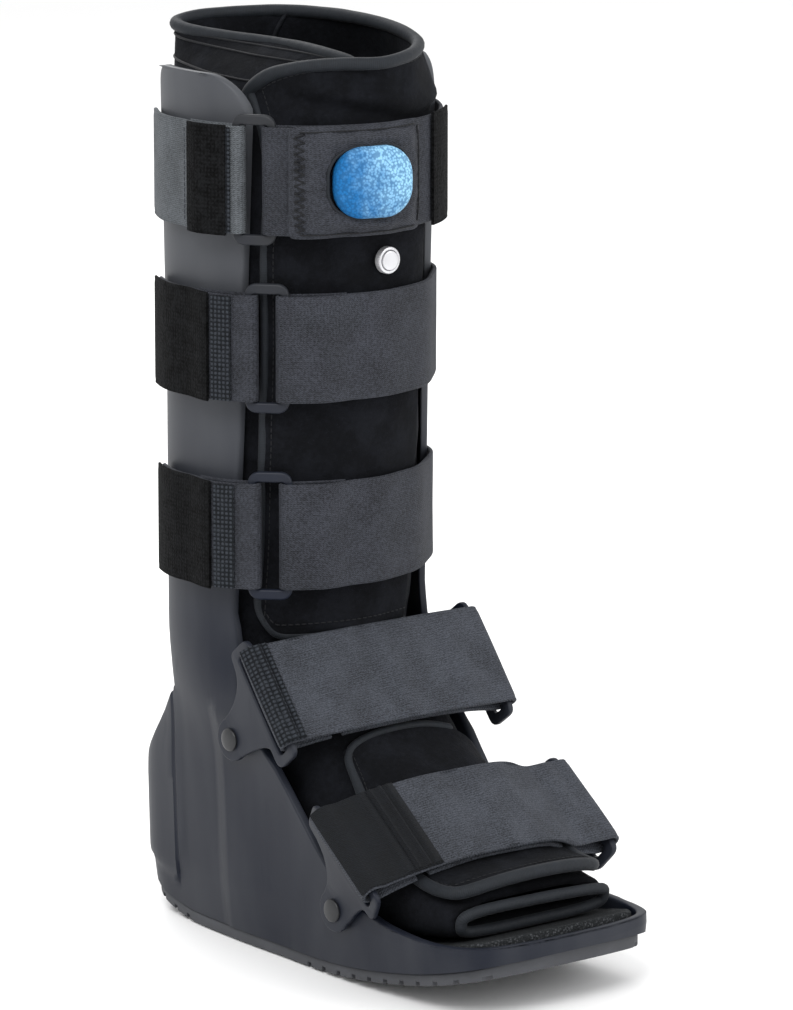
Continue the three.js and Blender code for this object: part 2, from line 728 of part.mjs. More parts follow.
// How far the uprights and the flap reach out from the leg's centre over a strap's height, at even turns.
function strapReach(row) {
  const points = [];
  for (const k of [-0.5, 0, 0.5]) {
    const z = row.height + k * CALF_STRAP_WIDTH;
    const front = frontEdge(z);
    const ring = shellPlan({ height: z, tuck: 0, leg: 1 }, 0);
    ring.forEach((p, i) => {
      const next = ring[(i + 1) % PLAN_STEPS];
      if (p.y >= front) points.push(p);
      if ((p.y - front) * (next.y - front) < 0)
        points.push(p.clone().lerp(next, (front - p.y) / (next.y - p.y)));
    });
    for (let i = 0; i <= LEG_STEPS; i++) {
      const turn = mix(FLAP_TURNS.from, flapEnd(z), i / LEG_STEPS);
      points.push(legPoint(legRow(z), turn, flapInner + FLAP_THICKNESS, z));
    }
  }
  const directions = Array.from({ length: STRAP_STEPS }, (_, i) => outFrom((i / STRAP_STEPS) * 2 * Math.PI));
  const support = directions.map((n) => Math.max(...points.map((p) => n.x * p.x + n.y * (p.y - LEG_CENTRE))));
  return directions.map((d) =>
    Math.min(...directions.map((n, i) => (n.dot(d) > 0.2 ? support[i] / n.dot(d) : Infinity))),
  );
}

const outFrom = (angle) => new THREE.Vector2(-Math.sin(angle), Math.cos(angle));

// The plan of a calf strap, drawn tight round the uprights and the flap, with its corners rounded.
function strapOval(row) {
  const reach = strapReach(row);
  let round = reach;
  for (let pass = 0; pass < 2; pass++) {
    const last = round;
    round = last.map((r, i) => (last.at(i - 1) + 2 * r + last[(i + 1) % STRAP_STEPS]) / 4);
  }
  const short = Math.max(...reach.map((r, i) => r - round[i]));
  const points = round.map((r, i) => {
    const at = outFrom((i / STRAP_STEPS) * 2 * Math.PI).multiplyScalar(r + short + GAP);
    return new THREE.Vector3(at.x, at.y + LEG_CENTRE, 0);
  });
  const curve = new THREE.CatmullRomCurve3(points, true, "catmullrom");
  return { curve, arc: curve.getLength(), buckleTurn: row.buckleTurn };
}

function strapPoint(oval, turn, out) {
  const at = oval.curve.getPoint(turn);
  const along = oval.curve.getTangent(turn);
  return new THREE.Vector2(at.x - along.y * -out, at.y + along.x * -out);
}

// A run of points along a strap's plan, about a step apart; out(turn) is its distance from the oval.
function strapRun(oval, from, to, out) {
  const steps = Math.max(2, Math.round((Math.abs(to - from) * oval.arc) / PATH_STEP));
  return Array.from({ length: steps + 1 }, (_, i) => {
    const turn = mix(from, to, i / steps);
    return strapPoint(oval, turn, out(turn));
  });
}

const wrapRadius = (BUCKLE_BAR * Math.SQRT2) / 2 + GAP + STRAP_THICKNESS / 2;
const innerRun = GAP + STRAP_THICKNESS / 2;
const postOut = innerRun + wrapRadius;

// A buckle's two posts in plan, and the directions along and out of it.
function buckleFrame(oval) {
  const centre = strapPoint(oval, oval.buckleTurn, postOut);
  const along = strapPoint(oval, oval.buckleTurn + 0.01, postOut)
    .sub(strapPoint(oval, oval.buckleTurn - 0.01, postOut))
    .normalize();
  const reach = (BUCKLE_WIDTH - BUCKLE_BAR) / 2;
  return {
    centre,
    along,
    outward: new THREE.Vector2(along.y, -along.x).multiplyScalar(centre.x * along.y > 0 ? 1 : -1),
    posts: [centre.clone().addScaledVector(along, -reach), centre.clone().addScaledVector(along, reach)],
  };
}

// The half circle of a strap round a post, from its outer side to its inner side.
function wrap(post, frame, away) {
  return Array.from({ length: 6 }, (_, i) => {
    const a = (i / 5) * Math.PI;
    return post
      .clone()
      .addScaledVector(frame.outward, wrapRadius * Math.cos(a))
      .addScaledVector(frame.along, wrapRadius * Math.sin(a) * away);
  });
}

// How far the outer layer lies out at a distance from its buckle: over the post, over the fold, then alone.
function layerOut(distance) {
  const high = innerRun + 2 * wrapRadius;
  const low = innerRun + STRAP_THICKNESS + GAP;
  const down = THREE.MathUtils.smoothstep(distance, 8, FOLD_LENGTH);
  const home = THREE.MathUtils.smoothstep(distance, FOLD_LENGTH + 8, FOLD_LENGTH + 34);
  return mix(mix(high, low, down), innerRun, home);
}

// A strap folded round one post: side is 1 for the main strap, in front, and -1 for the tab, behind.
function foldedStrap(row, side, endTurn) {
  const oval = strapOval(row);
  const frame = buckleFrame(oval);
  const post = frame.posts[side > 0 ? 1 : 0];
  const { arc } = oval;
  const start = oval.buckleTurn + (side * (BUCKLE_WIDTH / 2 + 3)) / arc;
  const distance = (turn) => Math.abs(turn - start) * arc;
  const outer = strapRun(oval, endTurn, start, (turn) => layerOut(distance(turn)));
  const foldEnd = start + (side * (FOLD_LENGTH - 4)) / arc;
  const inner = strapRun(oval, start, foldEnd, () => innerRun);
  return uprightBand(
    [...outer, ...wrap(post, frame, -side), ...inner],
    STRAP_THICKNESS,
    CALF_STRAP_WIDTH,
    row.height,
  );
}

// A patch laid on the outside of a strap between two turns.
function strapPatch(row, side, from, to, thickness, extra) {
  const oval = strapOval(row);
  const { arc } = oval;
  const start = oval.buckleTurn + (side * (BUCKLE_WIDTH / 2 + 3)) / arc;
  const lift = STRAP_THICKNESS / 2 + 2 * GAP + thickness / 2;
  const line = strapRun(oval, from, to, (turn) => layerOut(Math.abs(turn - start) * arc) + lift);
  return uprightBand(line, thickness, CALF_STRAP_WIDTH + extra, row.height);
}

// A rectangle with round corners, as a shape or a hole.
function roundedRect(kind, width, height, radius) {
  const [w, h] = [width / 2, height / 2];
  const path = new kind();
  path.moveTo(-w + radius, -h);
  path.lineTo(w - radius, -h);
  path.absarc(w - radius, -h + radius, radius, -Math.PI / 2, 0);
  path.lineTo(w, h - radius);
  path.absarc(w - radius, h - radius, radius, 0, Math.PI / 2);
  path.lineTo(-w + radius, h);
  path.absarc(-w + radius, h - radius, radius, Math.PI / 2, Math.PI);
  path.lineTo(-w, -h + radius);
  path.absarc(-w + radius, -h + radius, radius, Math.PI, 1.5 * Math.PI);
  return path;
}

// A calf buckle: a rounded frame that stands on the strap's corner, its posts inside the two folds.
function buildBuckle() {
  const shape = roundedRect(THREE.Shape, BUCKLE_WIDTH, BUCKLE_HEIGHT, 5);
  const slotHeight = CALF_STRAP_WIDTH + 2 * GAP;
  const slot = roundedRect(THREE.Path, BUCKLE_WIDTH - 2 * BUCKLE_BAR, slotHeight, 1);
  shape.holes.push(new THREE.Path(slot.getPoints(1)));
  const geometry = new THREE.ExtrudeGeometry(shape, {
    depth: BUCKLE_BAR,
    bevelEnabled: false,
    curveSegments: 3,
  });
  return geometry.translate(0, 0, -BUCKLE_BAR / 2);
}

// A bracket: its rivet at the origin, its loop along X at a rise along Y, and bent outwards by a slope.
function buildBracket(frame) {
  const { rise, shift, slope } = frame;
  const [half, deep] = [frame.length / 2, BRACKET_SLOT / 2 + BRACKET_BAR];
  const round = 5;
  const shape = new THREE.Shape();
  shape.moveTo(half - round - shift, rise + deep);
  shape.lineTo(-half + round - shift, rise + deep);
  shape.quadraticCurveTo(-half - shift, rise + deep, -half - shift, rise + deep - round);
  shape.lineTo(-half - shift, rise - deep + round);
  shape.quadraticCurveTo(-half - shift, rise - deep, -half + round - shift, rise - deep);
  shape.quadraticCurveTo(-BRACKET_LOBE - 2, rise - deep - 2, -BRACKET_LOBE, 2);
  shape.absarc(0, 0, BRACKET_LOBE, Math.PI * 0.94, Math.PI * 2.06);
  shape.quadraticCurveTo(BRACKET_LOBE + 3, rise - deep - 3, BRACKET_LOBE + 8, rise - deep);
  shape.lineTo(half - round - shift, rise - deep);
  shape.quadraticCurveTo(half - shift, rise - deep, half - shift, rise - deep + round);
  shape.lineTo(half - shift, rise + deep - round);
  shape.quadraticCurveTo(half - shift, rise + deep, half - round - shift, rise + deep);
  const slot = roundedRect(THREE.Path, 2 * half - 2 * BRACKET_BAR, BRACKET_SLOT, 1);
  const moved = slot.getPoints(2).map((p) => p.add(new THREE.Vector2(-shift, rise)));
  shape.holes.push(new THREE.Path(moved));
  const shank = new THREE.Path();
  shank.absarc(0, 0, RIVET_SHANK + 2 * GAP, 0, 2 * Math.PI);
  shape.holes.push(shank);
  const plate = solid(
    new THREE.ExtrudeGeometry(shape, {
      depth: BRACKET_THICKNESS,
      bevelEnabled: false,
      curveSegments: 3,
    }),
  );
  const beyond = new THREE.BoxGeometry(FAR, FAR, FAR).translate(0, FAR / 2 + BRACKET_BEND, 0);
  const wing = geometryOf(plate.intersect(solid(beyond)));
  const at = wing.attributes.position;
  for (let i = 0; i < at.count; i++) at.setZ(i, at.getZ(i) + slope * (at.getY(i) - BRACKET_BEND));
  return geometryOf(plate.subtract(solid(beyond)).add(solid(wing)));
}

// A rivet: a domed head over the bracket and a shank down to the shell.
function buildRivet(depth) {
  const [base, crown] = [BRACKET_THICKNESS + GAP, BRACKET_THICKNESS + GAP + RIVET_HEAD];
  const profile = [
    [0, -depth],
    [RIVET_SHANK, -depth],
    [RIVET_SHANK, base],
    [RIVET_RADIUS, base],
    [RIVET_RADIUS, base + RIVET_HEAD * 0.35],
    [RIVET_RADIUS * 0.75, base + RIVET_HEAD * 0.8],
    [0, crown],
  ].map(([x, y]) => new THREE.Vector2(x, y));
  return new THREE.LatheGeometry(profile, 10).rotateX(Math.PI / 2);
}

// How far out the shell's side lies at a place in the side view, its raised field included.
const shellSkin = new THREE.Mesh(geometryOf(shellBody(-COUNTER_STEP / 2)));
const inwards = new THREE.Vector3(1, 0, 0);

function shellSide(y, z) {
  const ray = new THREE.Raycaster(new THREE.Vector3(-FAR, y, z), inwards);
  return -ray.intersectObject(shellSkin)[0].point.x;
}

// Where a bracket on the right side lies: its rivet, its directions along and over the strap, its bend and bar.
function bracketFrame(row) {
  const along2 = row.lower.clone().sub(row.upper);
  const length = along2.length();
  along2.normalize();
  const over2 = new THREE.Vector2(along2.y, -along2.x);
  const clear = [];
  for (const a of [-1, -0.5, 0, 0.5, 1])
    for (const b of [-1, 0, 1, 1.6]) {
      const at = row.rivet
        .clone()
        .addScaledVector(along2, a * BRACKET_LOBE)
        .addScaledVector(over2, b * BRACKET_LOBE);
      clear.push(shellSide(at.x, at.y) + GAP);
    }
  const seat = Math.max(...clear);
  const toLoop = row.upper.clone().add(row.lower).multiplyScalar(0.5).sub(row.rivet);
  const shift = -toLoop.dot(along2);
  const rise = toLoop.dot(over2);
  const barAt = rise + (BRACKET_SLOT + BRACKET_BAR) / 2;
  const slope = (row.out - BRACKET_THICKNESS / 2 - seat) / (barAt - BRACKET_BEND);
  const bar = row.rivet.clone().addScaledVector(over2, barAt).addScaledVector(along2, -shift);
  return {
    rivet: new THREE.Vector3(-seat, row.rivet.x, row.rivet.y),
    along: new THREE.Vector3(0, along2.x, along2.y),
    over: new THREE.Vector3(0, over2.x, over2.y),
    outward: new THREE.Vector3(-1, 0, 0),
    shank: seat - shellSide(row.rivet.x, row.rivet.y) - 2 * GAP,
    length,
    rise,
    shift,
    slope,
    bar: new THREE.Vector3(-row.out, bar.x, bar.y),
  };
}

// A strap over the foot, seen end on and swept along its width: over the instep, round both bars and back below.
function buildFootStrap(row) {
  const frame = bracketFrame(row);
  const width = frame.length - 2 * BRACKET_BAR - 2 * GAP;
  const reach = -frame.bar.x;
  const thick = BRACKET_THICKNESS + BRACKET_BAR * frame.slope;
  const radius = Math.hypot(BRACKET_BAR, thick) / 2 + 1.5 * GAP + STRAP_THICKNESS / 2;
  const arch = (x) => Math.max(0, 1 - Math.abs(x / (reach - radius)) ** 2.4);
  const upper = (x) => radius + row.bulge * arch(x);
  const lower = (x) => -radius + (row.bulge + 2 * radius - STRAP_THICKNESS - 2 * GAP) * arch(x);
  const half = 12;
  const over = [];
  const under = [];
  for (let i = 0; i <= half; i++) over.push(new THREE.Vector2(mix(-reach, reach, i / half), 0));
  for (let i = 0; i <= half; i++) under.push(new THREE.Vector2(mix(reach, -reach + 30, i / half), 0));
  over.forEach((p) => p.setY(upper(p.x)));
  under.forEach((p) => p.setY(lower(p.x)));
  const turnRound = (x, side) =>
    Array.from({ length: 5 }, (_, i) => {
      const a = ((i + 1) / 6) * Math.PI;
      return new THREE.Vector2(x + side * radius * Math.sin(a), radius * Math.cos(a));
    });
  const start = [];
  for (let i = 4; i >= 0; i--) {
    const x = mix(-reach, -reach + 24, i / 4);
    start.push(new THREE.Vector2(x, lower(x)));
  }
  const line = [...start, ...turnRound(-reach, -1).reverse(), ...over, ...turnRound(reach, 1), ...under];
  const geometry = new THREE.ExtrudeGeometry(band(line, STRAP_THICKNESS), {
    depth: width,
    bevelEnabled: false,
  });
  const upDirection = new THREE.Vector3(0, frame.over.y, frame.over.z).normalize();
  geometry.translate(0, 0, -width / 2);
  geometry.applyMatrix4(
    new THREE.Matrix4().makeBasis(
      new THREE.Vector3(1, 0, 0),
      upDirection,
      new THREE.Vector3(1, 0, 0).cross(upDirection),
    ),
  );
  return geometry.translate(0, frame.bar.y, frame.bar.z);
}

// The pouch over the pump: it swells over the top strap round its window.
function pouchSwell(u, v) {
  const across = Math.cos((u - 0.5) * Math.PI) ** 0.9;
  const up = 1 - Math.abs(2 * v - 1) ** 4;
  return PUMP_DEPTH * across * up;
}

function pouchPoint(row, u, v, out) {
  const oval = strapOval(row);
  const { arc } = oval;
  const start = oval.buckleTurn + (BUCKLE_WIDTH / 2 + 3) / arc;
  const turn = mix(PUMP_TURN - POUCH_REACH, PUMP_TURN + POUCH_REACH, u);
  const base = layerOut(Math.abs(turn - start) * arc) + STRAP_THICKNESS / 2 + 3 * GAP;
  const at = strapPoint(oval, turn, base + out);
  const width = CALF_STRAP_WIDTH + 2;
  return new THREE.Vector3(at.x, at.y, row.height + (v - 0.5) * width);
}

// The pump's place: the middle of the pouch and the directions along and out of it.
function pumpFrame(row) {
  const at = pouchPoint(row, 0.5, 0.5, 0);
  const along = pouchPoint(row, 0.6, 0.5, 0).sub(pouchPoint(row, 0.4, 0.5, 0)).normalize();
  const outward = along.clone().cross(new THREE.Vector3(0, 0, 1));
  return new THREE.Matrix4()
    .makeBasis(along, new THREE.Vector3(0, 0, 1), outward)
    .setPosition(at);
}

function buildPouch(row) {
  const cover = sheet(
    (u, v, depth) => pouchPoint(row, u, v, depth * (POUCH_THICKNESS + pouchSwell(u, v))),
    12,
    5,
  );
  const outline = roundedRect(THREE.Shape, PUMP_WIDTH + 2 * GAP, PUMP_HEIGHT + 2 * GAP, 14);
  const window = new THREE.ExtrudeGeometry(outline, {
    depth: 6 * PUMP_DEPTH,
    bevelEnabled: false,
    curveSegments: 4,
  });
  window.translate(0, 0, -3 * PUMP_DEPTH).applyMatrix4(pumpFrame(row));
  return geometryOf(solid(cover).subtract(solid(window)));
}

// The rubber bulb: flat behind, domed in its window.
function buildPumpBulb(row) {
  const layers = [
    { share: 1, out: 1.2 },
    { share: 1, out: 0.62 * PUMP_DEPTH },
    { share: 0.93, out: 0.95 * PUMP_DEPTH },
    { share: 0.75, out: 1.18 * PUMP_DEPTH },
    { share: 0.4, out: 1.32 * PUMP_DEPTH },
  ];
  const outline = roundedRect(THREE.Shape, PUMP_WIDTH, PUMP_HEIGHT, 13.7).getPoints(3).slice(0, -1);
  const rings = layers.map((layer) =>
    outline.map((p) => new THREE.Vector3(p.x * layer.share, p.y * layer.share, layer.out)),
  );
  return loft(rings).applyMatrix4(pumpFrame(row));
}

// The release valve: a collar on the flap and the button that is pressed into it.
function buildValveCollar() {
  const [r, b, t] = [VALVE_RADIUS, VALVE_BUTTON_RADIUS + GAP, VALVE_THICKNESS];
  const profile = [
    [0, 0],
    [r, 0],
    [r, t - 0.6],
    [r - 0.6, t],
    [b, t],
    [b, 0.8],
    [0, 0.8],
  ].map(([x, y]) => new THREE.Vector2(x, y));
  return new THREE.LatheGeometry(profile, 16).rotateX(Math.PI);
}

function buildValveButton() {
  const [r, low, high] = [VALVE_BUTTON_RADIUS, 0.8 + GAP + VALVE_TRAVEL, VALVE_THICKNESS + 0.6];
  const profile = [
    [0, low],
    [r, low],
    [r, high - 0.4],
    [r - 0.4, high],
    [0, high],
  ].map(([x, y]) => new THREE.Vector2(x, y));
  return new THREE.LatheGeometry(profile, 16).rotateX(Math.PI);
}

const group = new THREE.Group();

function place(name, geometry, finish, parent = group) {
  const mesh = new THREE.Mesh(geometry, new THREE.MeshStandardMaterial(finish));
  mesh.name = name;
  parent.add(mesh);
  return mesh;
}

place("outsole", buildOutsole(), rubber);
place("shell", buildShell(), charcoal);
place("insole_pad", buildInsole(), felt);
place("liner_leg", buildLinerLeg(), plush);
place("liner_foot", buildLinerFoot(), plush);
place("rim_binding", buildRimBinding(), piping);
place("front_flap", buildFrontFlap(), plush);
place("vamp_flap", buildVampFlap(), plush);
place("toe_piping", buildToePiping(), piping);

for (const row of CALF_STRAPS) {
  place(`${row.name}_strap`, foldedStrap(row, 1, STRAP_BACK_TURN), webbing);
  place(`${row.name}_tab`, foldedStrap(row, -1, row.tabTurn), webbing);
  place(`${row.name}_hook_patch`, strapPatch(row, -1, ...row.patch, PATCH_THICKNESS, 2), hook);
  const frame = buckleFrame(strapOval(row));
  const buckle = place(`${row.name}_buckle`, buildBuckle(), charcoal);
  buckle.matrixAutoUpdate = false;
  buckle.matrix
    .makeBasis(
      new THREE.Vector3(frame.along.x, frame.along.y, 0),
      new THREE.Vector3(0, 0, 1),
      new THREE.Vector3(frame.along.y, -frame.along.x, 0),
    )
    .setPosition(frame.centre.x, frame.centre.y, row.height);
}

for (const row of BRACKETS) {
  const frame = bracketFrame(row);
  const geometry = buildBracket(frame);
  for (const [side, sign] of [["right", 1], ["left", -1]]) {
    const holder = new THREE.Group();
    holder.matrixAutoUpdate = false;
    holder.matrix.makeBasis(frame.along, frame.over, frame.outward).setPosition(frame.rivet);
    if (sign < 0) holder.matrix.premultiply(new THREE.Matrix4().makeScale(-1, 1, 1));
    place(`${row.name}_bracket_${side}`, geometry, charcoal, holder);
    place(`${row.name}_rivet_${side}`, buildRivet(frame.shank), rivetSteel, holder);
    group.add(holder);
  }
  place(`${row.name}_strap`, buildFootStrap(row), webbing);
}

const topStrap = CALF_STRAPS[0];
place("pump_pouch", buildPouch(topStrap), webbing);
place("pump_bulb", buildPumpBulb(topStrap), { color: 0x3f9edb, roughness: 0.6, metalness: 0 });
place("pouch_hook_patch", strapPatch(topStrap, 1, 0.56, 0.615, PATCH_THICKNESS, 4), hook);

const valve = new THREE.Group();
const valveHeight = mix(CALF_STRAPS[1].height, CALF_STRAPS[0].height, 0.49);
const valveOut = flapInner + FLAP_THICKNESS + 2 * GAP;
valve.position.copy(legPoint(legRow(valveHeight), 0.5, valveOut, valveHeight));
place("valve_collar", buildValveCollar(), valveSilver, valve);
place("valve_button", buildValveButton(), valveSilver, valve);
group.add(valve);

export default group;
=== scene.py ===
"""Looks of a tall medical walking boot: moulded shell, padded liner, webbing straps, air pump and brackets.

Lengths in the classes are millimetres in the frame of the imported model; meshes are built in metres.
"""

import logging
import math
from dataclasses import dataclass, field
from enum import Enum
from typing import Callable, Sequence, Union

import bmesh
import bpy
import numpy as np
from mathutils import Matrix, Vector, noise


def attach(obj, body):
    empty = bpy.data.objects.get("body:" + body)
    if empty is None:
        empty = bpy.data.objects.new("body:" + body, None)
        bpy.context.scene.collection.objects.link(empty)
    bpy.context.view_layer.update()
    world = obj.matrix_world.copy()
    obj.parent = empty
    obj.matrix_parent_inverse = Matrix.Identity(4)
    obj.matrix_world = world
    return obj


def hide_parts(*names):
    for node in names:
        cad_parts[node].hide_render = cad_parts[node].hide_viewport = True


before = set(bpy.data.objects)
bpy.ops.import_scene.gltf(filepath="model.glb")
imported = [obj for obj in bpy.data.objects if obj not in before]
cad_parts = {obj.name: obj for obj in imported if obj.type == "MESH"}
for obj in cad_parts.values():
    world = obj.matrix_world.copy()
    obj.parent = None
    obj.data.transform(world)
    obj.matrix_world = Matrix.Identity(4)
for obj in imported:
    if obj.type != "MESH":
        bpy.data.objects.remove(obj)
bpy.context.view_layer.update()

log = logging.getLogger("walking_boot")
MM = 0.001
TAU = 2 * math.pi
CLOTH = "cloth"
WELD = 1e-6
UP = np.array([0, 0, 1.0])
Array = np.ndarray
Number = Union[int, float]


class Slot(Enum):
    """The finishes of the boot, by name."""

    SHELL = "shell"
    SOLE = "sole"
    INSOLE = "insole"
    LINER = "liner"
    BINDING = "binding"
    WEBBING = "webbing"
    HOOK = "hook_patch"
    HARDWARE = "hardware"
    RIVET = "rivet"
    BULB = "bulb"
    VALVE = "valve"


class Body(Enum):
    """The moving bodies of the frame."""

    BOOT = "root"
    BUTTON = "valve"


# Shader maths


def operator(operation: str, swapped: bool = False) -> Callable[["Link", "Value"], "Link"]:
    """An arithmetic operator of Link.

    Args:
        operation: the Math node's operation.
        swapped: whether the link comes second.

    Returns:
        The method, which adds the Math node.
    """

    def method(link: "Link", other: "Value") -> "Link":
        """Adds the Math node between a link and a value."""
        first, second = (other, link) if swapped else (link, other)
        return link.graph.node("ShaderNodeMath", {"operation": operation}, {0: first, 1: second})

    return method


class Link:
    """An output socket that takes part in arithmetic; each operator adds one Math node."""

    __add__ = __radd__ = operator("ADD")
    __sub__, __rsub__ = operator("SUBTRACT"), operator("SUBTRACT", True)
    __mul__ = __rmul__ = operator("MULTIPLY")
    __truediv__ = operator("DIVIDE")

    def __init__(self, graph: "Graph", socket: bpy.types.NodeSocket) -> None:
        """Wraps a socket of a graph.

        Args:
            graph: the material's graph.
            socket: the output that carries the value.
        """
        self.graph = graph
        self.socket = socket

    def sine(self) -> "Link":
        """The sine of an angle in radians."""
        return self.graph.node("ShaderNodeMath", {"operation": "SINE"}, {0: self})

    def step(self, low: float, high: float) -> "Link":
        """A smooth step from 0 at low to 1 at high.

        Args:
            low: the value below which the result is 0.
            high: the value above which the result is 1.

        Returns:
            The eased step.
        """
        settings = {"interpolation_type": "SMOOTHSTEP"}
        return self.graph.node("ShaderNodeMapRange", settings, {0: self, 1: low, 2: high, 3: 0.0, 4: 1.0})


Value = Union[Link, Number]
Colour = tuple[float, float, float]


class Graph:
    """A material's node tree round one Principled shader."""

    def __init__(self, name: str) -> None:
        """Starts an empty material.

        Args:
            name: the material's name.
        """
        self.material = bpy.data.materials.new(name)
        self.material.use_nodes = True
        self.tree = self.material.node_tree
        self.tree.nodes.clear()

    def node(
        self,
        kind: str,
        settings: dict[str, object] | None = None,
        inputs: dict[Union[int, str], object] | None = None,
        output: Union[int, str] = 0,
    ) -> Link:
        """Adds any node.

        Args:
            kind: the node's type.
            settings: its own properties, set before its sockets.
            inputs: a value or a link for each socket, by name or place.
            output: which of its outputs is wanted.

        Returns:
            The wanted output.
        """
        made = self.tree.nodes.new(kind)
        for key, value in (settings or {}).items():
            setattr(made, key, value)
        for key, value in (inputs or {}).items():
            if isinstance(value, Link):
                self.tree.links.new(value.socket, made.inputs[key])
            else:
                made.inputs[key].default_value = value
        return Link(self, made.outputs[output])

    def place(self) -> Link:
        """The place on the object, in metres in the boot's frame."""
        return self.node("ShaderNodeTexCoord", output="Object")

    def cloth(self) -> tuple[Link, Link]:
        """The place on a cloth: along it and across it, in metres."""
        vector = self.node("ShaderNodeAttribute", {"attribute_name": CLOTH}, output="Vector")
        parts = self.node("ShaderNodeSeparateXYZ", inputs={0: vector})
        return parts, Link(self, parts.socket.node.outputs[1])

    def noise(self, scale: float, detail: float = 3.0, stretch: Colour = (1, 1, 1)) -> Link:
        """Noise round one half over the object's place.

        Args:
            scale: cells for each metre.
            detail: octaves.
            stretch: how the cells are squeezed along each axis.

        Returns:
            The noise's value.
        """
        mapped = self.node("ShaderNodeMapping", {"vector_type": "POINT"}, {0: self.place(), 3: stretch})
        return self.node("ShaderNodeTexNoise", inputs={"Vector": mapped, "Scale": scale, "Detail": detail})

    def cells(self, scale: float, smooth: float = 0.0) -> Link:
        """The distance to the nearest of scattered points.

        Args:
            scale: cells for each metre.
            smooth: how far the cells run into each other.

        Returns:
            The distance, in cells.
        """
        settings = {"feature": "SMOOTH_F1" if smooth else "F1"}
        inputs: dict[Union[int, str], object] = {"Vector": self.place(), "Scale": scale}
        if smooth:
            inputs["Smoothness"] = smooth
        return self.node("ShaderNodeTexVoronoi", settings, inputs)

    def colour_between(self, factor: Link, first: Union[Link, Colour], second: Union[Link, Colour]) -> Link:
        """A colour between two others.

        Args:
            factor: 0 for the first and 1 for the second.
            first: a link, or linear red, green and blue.
            second: the same.

        Returns:
            The mixed colour.
        """
        inputs: dict[Union[int, str], object] = {0: factor}
        for socket, colour in ((6, first), (7, second)):
            inputs[socket] = colour if isinstance(colour, Link) else (*colour, 1)
        return self.node("ShaderNodeMix", {"data_type": "RGBA", "clamp_factor": True}, inputs, 2)

    def bump(self, height: Link, distance: float, strength: float = 1.0, under: Link | None = None) -> Link:
        """A normal bent by a height.

        Args:
            height: from 0 to 1.
            distance: the height of 1, in metres.
            strength: how strongly it counts.
            under: a coarser normal that it adds to.

        Returns:
            The bent normal.
        """
        inputs: dict[Union[int, str], object] = {"Height": height, "Distance": distance, "Strength": strength}
        if under is not None:
            inputs["Normal"] = under
        return self.node("ShaderNodeBump", inputs=inputs)

    def finish(self, **sockets: object) -> bpy.types.Material:
        """Ends the tree with a Principled shader.

        Args:
            sockets: values or links by the shader's own names, spaces written as underscores.

        Returns:
            The material.
        """
        inputs = {key.replace("_", " "): value for key, value in sockets.items()}
        shader = self.node("ShaderNodeBsdfPrincipled", inputs=inputs)
        out = self.tree.nodes.new("ShaderNodeOutputMaterial")
        self.tree.links.new(shader.socket, out.inputs[0])
        return self.material


def linear(red: int, green: int, blue: int, gain: float = 1.0) -> Colour:
    """A colour of the screen as linear light.

    Args:
        red: 0 to 255.
        green: 0 to 255.
        blue: 0 to 255.
        gain: a factor on the light.

    Returns:
        Linear red, green and blue.
    """
    parts = []
    for value in (red, green, blue):
        share = value / 255
        parts.append(gain * (share / 12.92 if share <= 0.04045 else ((share + 0.055) / 1.055) ** 2.4))
    return (parts[0], parts[1], parts[2])


def shade(colour: Colour, gain: float) -> Colour:
    """A colour made lighter or darker by a factor."""
    return (colour[0] * gain, colour[1] * gain, colour[2] * gain)


@dataclass(frozen=True)
class MouldedPlastic:
    """Injection-moulded nylon: fine spark grain, faint flow marks, worn, smoother edges, and painted shade,
    darker and cooler towards the foot.
    """

    name: str
    colour: Colour
    roughness: float = 0.46
    grain: float = 1900.0
    depth: float = 0.00006
    # How dark the painted shade at the foot is, as a factor on the colour.
    foot: float = 0.12

    def material(self) -> bpy.types.Material:
        """Builds the plastic's material."""
        graph = Graph(self.name)
        flow = graph.noise(22, 3, (1, 1, 0.35))
        grain = graph.noise(self.grain, 2)
        scuffs = graph.noise(160, 4, (1, 1, 0.25)).step(0.6, 0.75)
        tone = flow.step(0.3, 0.7) * 0.8 + grain * 0.2
        # Painted shade: the colour runs from a dark, cool tone low down to a light one up the uprights, for how
        # the light falls.
        height = graph.node("ShaderNodeSeparateXYZ", inputs={0: graph.place()}, output=2)
        tone = tone * 0.3 + height.step(0.12, 0.35) * 0.7
        red, green, blue = shade(self.colour, self.foot)
        colour = graph.colour_between(tone, (red * 0.5, green, blue * 2.6), shade(self.colour, 2.2))
        roughness = self.roughness - 0.05 + flow * 0.1 + scuffs * 0.05
        normal = graph.bump(grain, self.depth, 0.6, graph.bump(flow, 0.0006, 0.25))
        return graph.finish(Base_Color=colour, Roughness=roughness, Normal=normal, Specular_IOR_Level=0.19)


@dataclass(frozen=True)
class TreadRubber:
    """Dense matt rubber with moulding dust in its grain."""

    name: str
    colour: Colour

    def material(self) -> bpy.types.Material:
        """Builds the rubber's material."""
        graph = Graph(self.name)
        grain = graph.noise(1200, 4)
        dust = graph.noise(40, 3).step(0.45, 0.7)
        tone = dust * 0.6 + grain * 0.4
        colour = graph.colour_between(tone, shade(self.colour, 0.85), shade(self.colour, 1.2))
        return graph.finish(
            Base_Color=colour, Roughness=0.68 + grain * 0.12, Normal=graph.bump(grain, 0.00012, 0.7)
        )


